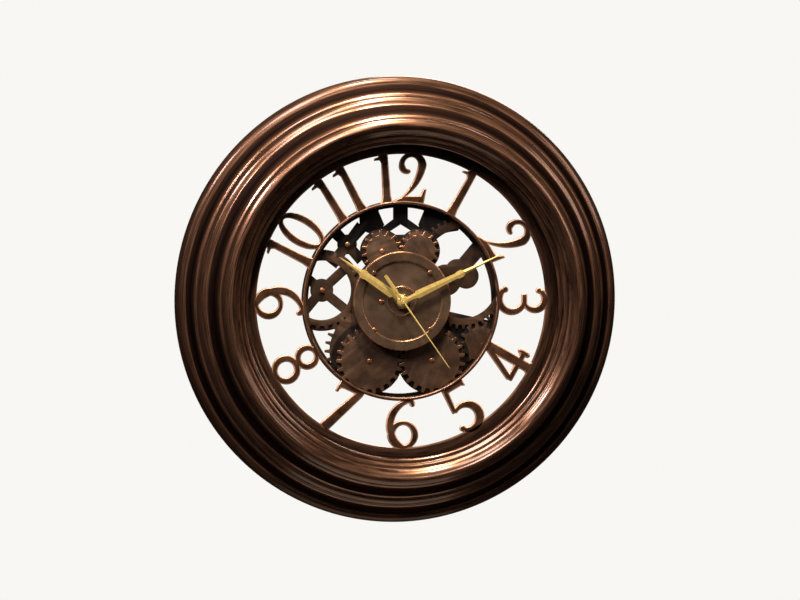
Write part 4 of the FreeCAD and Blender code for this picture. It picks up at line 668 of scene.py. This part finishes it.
def repeated(name, shape, count, first_angle, finish):
    """Copies of a master piece round the axis; the master is removed after use."""
    master = piece_from(shape, name + "_master", [finish])
    made = grown(name, repeat_round, {
        "Piece": master, "Count": count, "First Angle": first_angle, "Finish": finish})
    bpy.data.objects.remove(master)
    return made


# %% [markdown]
# Inside the hollow stand six ribs that stiffen the shell and four bosses that take the dial's
# screws. A rib is a thin plate cut to the shell's inner shape. All corners are (radius, depth).

# %% Ribs, bosses and screws of the case
rib_thickness = 2.4
screw_circle = 156.0
shell_slope = [(160.5, 53.0), (166.8, 41.5), (178.0, 29.2), (189.2, 17.2)]
rib_corners = [
    (163.0, 29.3), (151.3, 29.3), (151.3, 48.6), *shell_slope, (201.5, 4.5), (201.5, 4.0),
]
boss_profile = [(0, 29.0), (4.0, 29.0), (4.0, 50.0), (0, 50.0)]
screw_profile = [
    (0, 23.6), (1.6, 23.7), (2.6, 24.1), (3.2, 24.8), (3.4, 25.5), (3.4, 26.0), (0, 26.0),
]


def plate_between(corners, thickness):
    """A plate in the plane of radius and depth, centred on the axis' plane."""
    shape = bmesh.new()
    sides = []
    for offset in (-thickness / 2, thickness / 2):
        sides.append([shape.verts.new(at(radius, offset, depth)) for radius, depth in corners])
    shape.faces.new(sides[0])
    shape.faces.new(sides[1][::-1])
    skin(shape, *sides)
    bmesh.ops.recalc_face_normals(shape, faces=shape.faces)
    return shape


def turned_part(profile, centre, turns=24, shape=None):
    """A turned part of (radius, depth) corners on an axis along Y through centre (x, z)."""
    if shape is None:
        shape = bmesh.new()
    rows = [circle(shape, centre, radius, depth, turns) for radius, depth in profile]
    for first, second in zip(rows, rows[1:]):
        skin(shape, first, second)
    bmesh.ops.recalc_face_normals(shape, faces=shape.faces)
    return shape


ribs = repeated("case_ribs", plate_between(rib_corners, rib_thickness), 6, 0.0, case_finish)
bosses = repeated(
    "case_bosses", turned_part(boss_profile, (screw_circle, 0.0)), 4, math.pi / 4, case_finish)
screws = repeated(
    "dial_screws", turned_part(screw_profile, (screw_circle, 0.0), 28), 4, math.pi / 4, steel_finish)


# %% [markdown]
# Two upright webs carry the steel hanger plate. They belong to the moulding, so the ring, its
# ribs, bosses and webs are joined into one piece.

# %% Join the case
web_corners = [(176.0, 5.2), (156.6, 49.0), *shell_slope, (200.0, 5.2)]
web_thickness = 3.0
web_place = 14.0


def upright_web(place):
    shape = plate_between(web_corners, web_thickness)
    turn(shape, -math.pi / 2, "Y")
    bmesh.ops.translate(shape, verts=shape.verts, vec=(place * mm, 0, 0))
    return piece_from(shape, "hanger_web", [case_finish])


def joined(name, parts):
    """Join pieces into one mesh with the first one's slots."""
    shape = bmesh.new()
    for part in parts:
        shape.from_mesh(part.data)
    made = piece_from(shape, name, list(parts[0].data.materials), case_smooth)
    for part in parts:
        bpy.data.objects.remove(part)
    return made


webs = [upright_web(-web_place), upright_web(web_place)]
case = joined("case_shell", [case_ring, ribs, bosses, *webs])
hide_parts("case_ring")
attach(case, "clock")
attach(screws, "clock")


# %% [markdown]
# Each numeral is a flat moulding with rounded edges, made of strokes. A stroke is an oval ring, a
# swelling curve between two arcs, a straight bar, a polygon or a ball. The strokes are drawn as
# prisms, joined by an exact boolean, and then bevelled, so that the rubbed edge follows the whole
# outline. Every number below is a share of the numeral's height, with x from its middle.

# %% Strokes of the digits
digit_strokes = {
    0: [("ring", (0, 0.5), (0.275, 0.51), (0, 0.5), (0.165, 0.44))],
    1: [("poly", [(-0.17, 0), (0.17, 0), (0.105, 0.055), (0.085, 0.16), (0.070, 1), (-0.10, 1),
                  (-0.12, 0.93), (-0.20, 0.91), (-0.22, 0.86), (-0.10, 0.865), (-0.07, 0.80),
                  (-0.085, 0.16), (-0.105, 0.055)])],
    2: [("curve", [(-0.24, 0.74), (0.02, 1.0), (0.29, 0.75)], [(-0.155, 0.74), (0.0, 0.92), (0.15, 0.75)]),
        ("curve", [(-0.24, 0.74), (-0.20, 0.62), (-0.06, 0.585)],
         [(-0.155, 0.74), (-0.14, 0.685), (-0.06, 0.66)]),
        ("ball", (-0.055, 0.625), 0.045),
        ("curve", [(0.29, 0.75), (0.20, 0.48), (-0.15, 0.09)], [(0.15, 0.75), (0.07, 0.45), (-0.28, 0.03)]),
        ("poly", [(-0.34, 0), (0.27, 0), (0.32, 0.29), (0.255, 0.29), (0.20, 0.155), (-0.12, 0.14),
                  (-0.34, 0.04)])],
    3: [("curve", [(-0.20, 0.88), (0.21, 0.91), (0.10, 0.52)],
         [(-0.14, 0.84), (0.095, 0.86), (0.03, 0.56)]),
        ("ball", (-0.175, 0.825), 0.062),
        ("bar", (-0.12, 0.535), (0.08, 0.535), 0.075, 0.075),
        ("curve", [(0.08, 0.57), (0.25, 0.12), (-0.24, 0.09)], [(0.03, 0.50), (0.13, 0.15), (-0.17, 0.14)]),
        ("ball", (-0.205, 0.15), 0.066)],
    4: [("bar", (0.10, 0), (0.10, 1), 0.155, 0.155),
        ("poly", [(-0.07, 0), (0.27, 0), (0.175, 0.11), (0.025, 0.11)]),
        ("bar", (0.07, 0.99), (-0.26, 0.29), 0.09, 0.075), ("bar", (-0.30, 0.27), (0.30, 0.27), 0.08, 0.08),
        ("bar", (0.31, 0.16), (0.31, 0.38), 0.065, 0.065),
        ("ball", (0.31, 0.17), 0.038), ("ball", (0.31, 0.37), 0.038)],
    5: [("poly", [(-0.19, 0.87), (0.19, 0.87), (0.27, 0.83), (0.27, 1), (-0.16, 1)]),
        ("bar", (-0.145, 0.97), (-0.185, 0.46), 0.085, 0.065),
        ("curve", [(-0.195, 0.50), (0.285, 0.42), (-0.22, 0.055)],
         [(-0.165, 0.455), (0.15, 0.37), (-0.17, 0.115)]),
        ("ball", (-0.20, 0.125), 0.066)],
    6: [("curve", [(0.17, 0.985), (-0.30, 0.48), (0.04, 0.0)], [(0.13, 0.92), (-0.17, 0.50), (0.06, 0.06)]),
        ("ring", (0.025, 0.285), (0.30, 0.29), (0.035, 0.285), (0.185, 0.215)),
        ("curve", [(0.05, 0.93), (0.15, 1.0), (0.26, 0.91)], [(0.09, 0.905), (0.15, 0.925), (0.19, 0.88)]),
        ("ball", (0.22, 0.885), 0.052)],
    7: [("poly", [(-0.27, 1), (0.27, 1), (0.27, 0.90), (-0.13, 0.87), (-0.195, 0.85),
                  (-0.21, 0.75), (-0.275, 0.75)]),
        ("bar", (0.205, 0.97), (-0.12, 0), 0.11, 0.17)],
    8: [("ring", (0, 0.755), (0.235, 0.245), (0, 0.765), (0.14, 0.155)),
        ("ring", (0, 0.275), (0.28, 0.285), (0, 0.27), (0.175, 0.185))],
}
oval_steps = 48
curve_steps = 20
ball_steps = 20
hole_steps = 40
swell = 0.021
outer_swell = swell * 0.6


def three_point_arc(first, middle, last, steps):
    """Points on the arc through three places."""
    (x1, y1), (x2, y2), (x3, y3) = first, middle, last
    twice = 2 * (x1 * (y2 - y3) + x2 * (y3 - y1) + x3 * (y1 - y2))
    s1, s2, s3 = x1 * x1 + y1 * y1, x2 * x2 + y2 * y2, x3 * x3 + y3 * y3
    cx = (s1 * (y2 - y3) + s2 * (y3 - y1) + s3 * (y1 - y2)) / twice
    cy = (s1 * (x3 - x2) + s2 * (x1 - x3) + s3 * (x2 - x1)) / twice
    radius = math.hypot(x1 - cx, y1 - cy)
    start = math.atan2(y1 - cy, x1 - cx)
    sweep = (math.atan2(y3 - cy, x3 - cx) - start) % full_turn
    halfway = (math.atan2(y2 - cy, x2 - cx) - start) % full_turn
    if halfway > sweep:
        sweep -= full_turn
    angles = [start + sweep * index / steps for index in range(steps + 1)]
    return [on_circle((cx, cy), radius, angle) for angle in angles]


def oval(centre, radii, steps):
    angles = [full_turn * index / steps for index in range(steps)]
    return [
        (centre[0] + radii[0] * math.cos(angle), centre[1] + radii[1] * math.sin(angle))
        for angle in angles]


def spread(points, other, growth):
    """Move each point away from its partner on the other side of a stroke."""
    moved = []
    for (x, y), (ox, oy) in zip(points, other):
        length = max(math.hypot(x - ox, y - oy), 0.001)
        moved.append((x + (x - ox) / length * growth, y + (y - oy) / length * growth))
    return moved


def stroke_outlines(stroke):
    """A stroke's outer outline, and its hole where it has one."""
    kind, *given = stroke
    if kind == "poly":
        return given[0], None
    if kind == "ball":
        centre, radius = given
        return oval(centre, (radius, radius), ball_steps), None
    if kind == "bar":
        (x1, y1), (x2, y2), first_width, last_width = given
        length = math.hypot(x2 - x1, y2 - y1)
        nx, ny = -(y2 - y1) / length, (x2 - x1) / length
        a, b = first_width / 2 + swell, last_width / 2 + swell
        return [(x1 + nx * a, y1 + ny * a), (x1 - nx * a, y1 - ny * a),
                (x2 - nx * b, y2 - ny * b), (x2 + nx * b, y2 + ny * b)], None
    if kind == "curve":
        outer, inner = (three_point_arc(*places, curve_steps) for places in given)
        return spread(outer, inner, outer_swell) + spread(inner, outer, swell)[::-1], None
    centre, (wide, high), hole_centre, (hole_wide, hole_high) = given
    hole = oval(hole_centre, (hole_wide - swell, hole_high - swell), hole_steps)
    return oval(centre, (wide + outer_swell, high), oval_steps), hole


# %% [markdown]
# The numerals of the upper half stand with their feet on the inner ring, and those of the lower
# half, four to eight, stand upright too, with their feet on the rim. Each digit is turned to its
# place, and its foot and head run a little way into the two rings.

# %% Build the numerals
numeral_inner = 88.8
numeral_outer = 134.9
numeral_height = numeral_outer - numeral_inner
numeral_back = 26.0
numeral_front = 29.0
hole_margin = 1
numeral_places = {hour: [(hour, 0.0)] for hour in range(1, 10)}
numeral_places[10] = [(1, -0.31), (0, 0.24)]
numeral_places[11] = [(1, -0.25), (1, 0.27)]
numeral_places[12] = [(1, -0.36), (2, 0.22)]
fan_share = 0.4
bevel_widths = (1.0, 0.85, 0.7)
short_edges = (0.35, 0.5, 0.22, 0.12, 0.05)
torn_share = 0.02


def prism(points, low, high, name):
    """A solid over an outline of (x, z) points, between two depths."""
    shape = bmesh.new()
    turning = sum(x1 * y2 - x2 * y1 for (x1, y1), (x2, y2) in zip(points, points[1:] + points[:1]))
    if turning < 0:
        points = points[::-1]
    bottom, top = ([shape.verts.new(at(x, z, depth)) for x, z in points] for depth in (low, high))
    shape.faces.new(top)
    shape.faces.new(bottom[::-1])
    skin(shape, bottom, top)
    bmesh.ops.recalc_face_normals(shape, faces=shape.faces)
    return piece_from(shape, name, [numeral_finish, numeral_edge_finish])


def combined(base, other, operation):
    cut = base.modifiers.new("combined", "BOOLEAN")
    cut.operation = operation
    cut.solver = "EXACT"
    cut.object = other
    settle(base)
    bpy.data.objects.remove(other)
    return base


def faced_areas(mesh):
    """How much of a mesh's drawn triangles faces forwards, and how much backwards."""
    mesh.calc_loop_triangles()
    areas = [part.normal.y * part.area for part in mesh.loop_triangles]
    return -sum(area for area in areas if area < 0), sum(area for area in areas if area > 0)


def round_numeral(piece):
    """Round a numeral's edges as fully as its mesh allows. A try that tears its face is dropped."""
    plain = piece.data.copy()
    whole = faced_areas(plain)
    tries = [
        (width, shortest, triangles_first, False)
        for width in bevel_widths for shortest in short_edges for triangles_first in (False, True)]
    tries.append((bevel_widths[0], short_edges[-1], True, True))
    for width, shortest, triangles_first, clamped in tries:
        piece.data = plain.copy()
        without_slivers(piece, shortest * mm, triangles_first)
        rounded(piece, width * mm, 3, math.radians(40), clamped)
        areas = zip(faced_areas(piece.data), whole)
        worst = max(abs(now - before) / before for now, before in areas)
        if worst < torn_share:
            break
    print(piece.name, width, shortest, triangles_first, clamped, "area changed by", round(worst, 4))


def digit_piece(digit, place, name):
    """One digit, turned to its place and rounded. A nine is a six upside down."""
    angle, lean, foot, node = place
    flip = digit == 9
    tilt = math.radians(lean)
    base = on_circle((0, 0), foot, math.radians(angle))

    def put(share):
        x, y = (-share[0], 1 - share[1]) if flip else share
        x, y = x * numeral_height, y * numeral_height
        return (
            base[0] + x * math.cos(tilt) - y * math.sin(tilt),
            base[1] + x * math.sin(tilt) + y * math.cos(tilt))

    made = None
    for stroke in digit_strokes[6 if flip else digit]:
        outer, hole = stroke_outlines(stroke)
        part = prism([put(point) for point in outer], numeral_back, numeral_front, "stroke")
        if hole:
            low, high = numeral_back - hole_margin, numeral_front + hole_margin
            drill = prism([put(point) for point in hole], low, high, "hole")
            part = combined(part, drill, "DIFFERENCE")
        made = combined(made, part, "UNION") if made else part
    made.name = name
    made.data.name = name
    round_numeral(made)
    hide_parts(node)
    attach(made, "clock")


for hour, digits in numeral_places.items():
    hour_angle = 90 - 30 * hour
    inward = 4 <= hour <= 8
    for digit, share in digits:
        step = math.degrees(share * numeral_height / ((numeral_inner + numeral_outer) / 2))
        angle = hour_angle + step if inward else hour_angle - step
        lean = hour_angle + (angle - hour_angle) * fan_share
        lean = lean + 90 if inward else lean - 90
        foot = numeral_outer if inward else numeral_inner
        node = "numeral_%d" % hour
        if len(digits) > 1:
            node += "_left" if share < 0 else "_right"
        digit_piece(digit, (angle, lean, foot, node), node + "_raised")


# %% [markdown]
# The rim behind the lip and the ring inside the numerals are turned too. The inner ring has a
# rounded, well rubbed top that catches the light all the way round.

# %% Dial rings
rim_profile = [
    (133.0, 26.0, 0.2), (133.0, 28.0, 0.8), (133.3, 28.7, 1.0), (134.0, 29.0, 0.8), (135.0, 29.0, 0.25),
    (141.0, 29.0, 0.1), (160.0, 29.0, 0.1), (160.0, 26.0, 0.1),
]
rim = lathed(rim_profile, "dial_rim_turned", [dial_finish], 192)
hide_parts("dial_rim")
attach(rim, "clock")
chapter_profile = [
    (87.6, 19.5, 0.1), (87.6, 28.6, 0.4), (87.8, 29.4, 0.9), (88.4, 29.95, 0.7), (89.2, 30.1, 0.35),
    (89.9, 29.95, 0.7), (90.5, 29.4, 0.9), (90.7, 28.6, 0.4), (90.7, 19.5, 0.1),
]
chapter = lathed(chapter_profile, "chapter_ring_turned", [dial_finish], 192, math.radians(60))
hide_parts("chapter_ring")
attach(chapter, "clock")


# %% [markdown]
# The centre disc is a shallow dish: a raised rim, a step down to the floor, and a thin bead round
# the hands. It covers the movement.

# %% Centre disc
disc_profile = [
    (24.0, 19.5, 0), (24.0, 24.3, 0), (45.0, 24.3, 0), (45.0, 32.0, 0), (44.8, 32.6, 1),
    (44.3, 32.95, 1), (43.6, 33.0, 1), (43.0, 33.0, 0), (37.4, 33.0, 0), (36.7, 32.9, 1),
    (36.2, 32.5, 1), (36.0, 31.9, 1), (35.7, 31.6, 0), (14.2, 31.6, 0), (13.7, 31.75, 1),
    (13.3, 32.1, 1), (12.7, 32.1, 1), (12.3, 31.75, 1), (11.8, 31.6, 0), (4.0, 31.6, 0),
    (4.0, 19.5, 0),
]
disc = lathed(disc_profile, "centre_disc_turned", [disc_finish, edge_finish], 160)
worn_ring = disc.data.attributes["rub"].data
for face in disc.data.polygons:
    if all(worn_ring[index].value > 0.5 for index in face.vertices):
        face.material_index = edge_slot
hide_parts("centre_disc")
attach(disc, "clock")


# %% [markdown]
# The gear plate and its four wheels keep their CAD outlines. A merged copy of each gets rounded
# edges in copper, since that is where the finish is rubbed.

# %% Gear plate and relief wheels
plate = dressed("gear_plate", [relief_finish, dark_edge_finish], 0.35 * mm)
for node in ("wheel_lower_left", "wheel_lower_right", "wheel_upper_left", "wheel_upper_right"):
    wheel = dressed(node, [wheel_finish, edge_finish], 0.45 * mm)


# %% [markdown]
# Dome rivets sit on the wheels, the disc and the relief plate. A second tree puts a low dome on
# every vertex of a guide mesh; the guide's vertices are the rivets' places, as (x, z, depth).

# %% Rivets
rivet_circle = 36.5
rivet_angles = [math.radians(angle) for angle in (45, 135, 225, 315)]
rivet_places = [(*on_circle((0, 0), rivet_circle, angle), 32.2) for angle in rivet_angles]
rivet_places += [
    (-19.0, 0.0, 31.7), (*lower_wheels, 24.0), (-lower_wheels[0], lower_wheels[1], 24.0),
    (-upper_wheels[0], upper_wheels[1], 24.0), (-48.7, 51.4, 21.0), (-71.8, 10.0, 21.0),
    (75.0, -40.0, 19.8),
]


def dome_tree():
    tree, made = copying_tree(
        "domes_on_points", (("Radius", "Float"), ("Rise", "Float")),
        (("ball", "GeometryNodeMeshUVSphere"), ("size", "ShaderNodeCombineXYZ")))
    for key, value in (("Segments", 20), ("Rings", 12), ("Radius", 1.0)):
        made["ball"].inputs[key].default_value = value
    wire(tree, made, (
        ("in", "Radius", "size", 0), ("in", "Rise", "size", 1), ("in", "Radius", "size", 2),
        ("in", "Geometry", "copies", "Points"), ("ball", 0, "copies", "Instance"),
        ("size", 0, "copies", "Scale")))
    return tree


rivet_guide = bpy.data.meshes.new("rivet_guide")
rivet_guide.from_pydata([at(*place) for place in rivet_places], [], [])
rivets = grown(
    "rivets", dome_tree(), {"Radius": 2.4 * mm, "Rise": 1.3 * mm, "Finish": edge_finish},
    math.radians(60), rivet_guide)
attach(rivets, "clock")


# %% [markdown]
# The hands are pressed sheet with a ridge along the middle, so that one half of each blade is
# bright and the other dim. A blade is given by half widths along its length, both as shares of the
# length; each station gets a low edge and a high middle.

# %% Hands
hour_shares = [
    (0, 0.030), (0.15, 0.032), (0.17, 0.054), (0.57, 0.047), (0.60, 0.058), (0.64, 0.056),
    (0.67, 0.030), (0.97, 0.007),
]
minute_shares = [
    (0, 0.021), (0.13, 0.023), (0.145, 0.037), (0.54, 0.025), (0.56, 0.034), (0.60, 0.033),
    (0.62, 0.019), (0.97, 0.004),
]
second_shares = [(0, 0.010), (0.97, 0.005)]
tail_shares = [(0, 0.030), (0.35, 0.036), (0.40, 0.058), (1.0, 0.052)]
edge_share = 0.45
tip_half_width = 0.12
ridge_drop = 0.12


def blade(shape, shares, length, back, front, direction):
    """Add a ridged blade to a mesh."""
    stations = [(along * length * direction, half * length) for along, half in shares]
    if direction > 0:
        stations.append((length, tip_half_width))
    edge = back + (front - back) * edge_share
    rows = []
    for along, half in stations:
        rows.append([shape.verts.new(at(along, side, depth)) for side, depth in (
            (-half, back), (-half, edge), (0, front), (half, edge), (half, back))])
    for here, there in zip(rows, rows[1:]):
        skin(shape, here, there)
    shape.faces.new(rows[0])
    shape.faces.new(rows[-1][::-1])


def hand(node, blades, hub, depths, angle, body):
    """A hand with its domed hub, turned to its place."""
    back, front = depths
    shape = bmesh.new()
    for shares, length, direction in blades:
        blade(shape, shares, length, back, front - ridge_drop, direction)
    hub_profile = [
        (0, back), (hub, back), (hub, front - 0.35), (hub * 0.93, front - 0.08),
        (hub * 0.8, front), (0, front)]
    turned_part(hub_profile, (0, 0), 40, shape)
    turn(shape, -math.radians(90 - angle), "Y")
    made = piece_from(shape, node + "_ridged", [gold_finish], math.radians(6))
    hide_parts(node)
    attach(made, body)


hand("hour_hand", [(hour_shares, 71.0, 1)], 5.4, (36.3, 37.3), 304.8, "hours")
hand("minute_hand", [(minute_shares, 100.0, 1)], 4.2, (38.0, 39.0), 65.2, "minutes")
hand(
    "second_hand", [(second_shares, 75.0, 1), (tail_shares, 29.0, -1)], 2.4, (39.7, 40.3), 145.1,
    "seconds")


# %% [markdown]
# The movement is seen from behind: a black box with its cell and setting knob. The box, its back,
# the knob, the nut and the hanger keep their CAD shapes and get rounded edges.

# %% Movement, nut and hanger
for node, finishes, width, slot, body in (
    ("movement_case", [black_finish, black_finish], 0.3, "housing", "clock"),
    ("movement_back", [black_finish, black_finish], 0.25, "housing", "clock"),
    ("setting_knob", [black_finish, black_finish], 0.15, "acetal", "setting"),
    ("fixing_nut", [brass_finish, brass_finish], 0.35, "brass", "clock"),
    ("hanger_plate", [steel_finish, steel_finish], 0.25, "steel", "clock"),
):
    made = dressed(node, finishes, width * mm, body)


# %% [markdown]
# The cell is one small turned part: a plain sleeve that folds over the shoulders, with a steel cap
# and base. Its length and thickness come from the CAD node's own box, so it fits its bay between
# the two contacts.

# %% Cell
cell_low, cell_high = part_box("battery")
cell_base = [(0, 0), (0.72, 0), (0.75, 0.3), (0.86, 0.35), (0.97, 0.5), (1, 1.1)]
cell_top = [
    (1, 2.6), (0.97, 2.0), (0.86, 1.8), (0.84, 1.5), (0.40, 1.3), (0.38, 0.3), (0.34, 0), (0, 0),
]
sleeve_share = 0.85


def cell_piece():
    """Its corners, above, are shares of the radius and millimetres from the base or the top."""
    length = (cell_high.x - cell_low.x) / mm
    radius = (cell_high.z - cell_low.z) / mm / 2
    centre_y = (cell_low.y + cell_high.y) / 2
    centre_z = (cell_low.z + cell_high.z) / 2
    profile = [(radius * share, along) for share, along in cell_base]
    profile += [(radius * share, length - short) for share, short in cell_top]
    shape = turned_part(profile, (0, 0), 48)
    turn(shape, math.pi / 2, "Z")
    bmesh.ops.translate(shape, verts=shape.verts, vec=(cell_low.x, centre_y, centre_z))
    made = piece_from(shape, "cell", [sleeve_finish, can_finish], math.radians(40))
    for face in made.data.polygons:
        reach = math.hypot(face.center.y - centre_y, face.center.z - centre_z) / (radius * mm)
        face.material_index = 0 if reach > sleeve_share else 1
    return made


cell = cell_piece()
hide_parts("battery")
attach(cell, "clock")


# %% [markdown]
# The pieces inside the movement keep their CAD shapes. Each one's slots get the finish of what it
# is made of.

# %% Finishes of the pieces that stay
stays = (
    (glass_finish, ("glass",)),
    (steel_finish, ("stator", "coil_core", "contact_minus", "contact_plus")),
    (wire_finish, ("coil",)),
    (board_finish, ("circuit_board",)),
    (can_finish, ("crystal",)),
    (white_finish, (
        "middle_plate", "second_arbor", "intermediate_wheel", "rotor", "third_wheel",
        "centre_wheel", "minute_arbor", "minute_wheel", "hour_wheel")),
)
for finish, names in stays:
    for node in names:
        slots = nodes[node].data.materials
        slots.clear()
        slots.append(finish)


# %% [markdown]
# The studio: a pale floor well below and six lamps. Two warm ones above and one at upper left draw
# the bright lines on the rounds, a large one in front lights the dial, a weak one at right lifts
# that side, and one behind shows the back. The background is the picture's pale colour where the
# camera sees it, also through the glass. For all other rays the room is dim, so that the coves
# stay dark and only the lamps draw bright lines.

# %% Studio
background = (0.939, 0.930, 0.896, 1.0)
room = (0.022, 0.021, 0.020, 1.0)
floor_colour = (0.80, 0.79, 0.77, 1.0)
thin_colour = (0.10, 0.10, 0.10, 1.0)
glow_share = 0.87
floor_reach, floor_level = 1.0, -2.3


def add_world():
    world = bpy.data.worlds.new("studio")
    bpy.context.scene.world = world
    world.use_nodes = True
    wiring = Wiring(world.node_tree)
    colour = wiring.mixed(wiring.seen_by_camera(), room, background)
    wiring.feed(world.node_tree.nodes["Background"], {"Color": colour, "Strength": 1.0})


def lamp(name, place, size, power, colour=(1.0, 0.98, 0.95)):
    data = bpy.data.lights.new(name, "AREA")
    data.shape = "RECTANGLE"
    data.size, data.size_y = size
    data.energy = power
    data.color = colour
    stand(linked(name, data), place, -Vector(place))


def floor_paint():
    """Pale paint. To the camera it glows most of the way up to the background's colour, so that its
    edge doesn't show, and the rest is plain paint that takes the shadow."""
    finish = Finish("floor_paint")
    finish.tree.nodes.remove(finish.shader)
    plain = finish.node("ShaderNodeBsdfDiffuse", {"Color": floor_colour}).outputs[0]
    thin = finish.node("ShaderNodeBsdfDiffuse", {"Color": thin_colour}).outputs[0]
    glow = finish.node("ShaderNodeEmission", {"Color": background, "Strength": glow_share}).outputs[0]
    shown = finish.node("ShaderNodeAddShader", {0: glow, 1: thin}).outputs[0]
    finish.show(finish.seen_by_camera(), plain, shown)
    return finish.material


def add_floor():
    mesh = bpy.data.meshes.new("floor")
    corners = [
        (x * floor_reach, y * floor_reach, floor_level)
        for x, y in ((-1, -1), (1, -1), (1, 1), (-1, 1))]
    mesh.from_pydata(corners, [], [(0, 1, 2, 3)])
    mesh.materials.append(floor_paint())
    floor = linked("floor", mesh)


add_world()
add_floor()
lamp("lamp_top", (0.0, -0.85, 1.9), (0.20, 0.25), 74.0, (1.0, 0.96, 0.74))
lamp("lamp_over", (0.10, 0.15, 2.0), (0.5, 0.16), 44.0, (1.0, 0.96, 0.78))
lamp("lamp_left", (-1.45, -0.95, 1.25), (0.30, 0.4), 34.0, (1.0, 0.97, 0.94))
lamp("lamp_front", (-0.7, -1.9, 2.1), (0.8, 0.8), 53.0, (1.0, 0.95, 0.88))
lamp("lamp_back", (0.9, 2.2, 1.3), (1.2, 1.2), 40.0)
lamp("lamp_right", (1.9, -1.3, 0.9), (0.5, 1.0), 8.0, (1.0, 0.90, 0.78))
bpy.context.scene.view_settings.view_transform = "Standard"
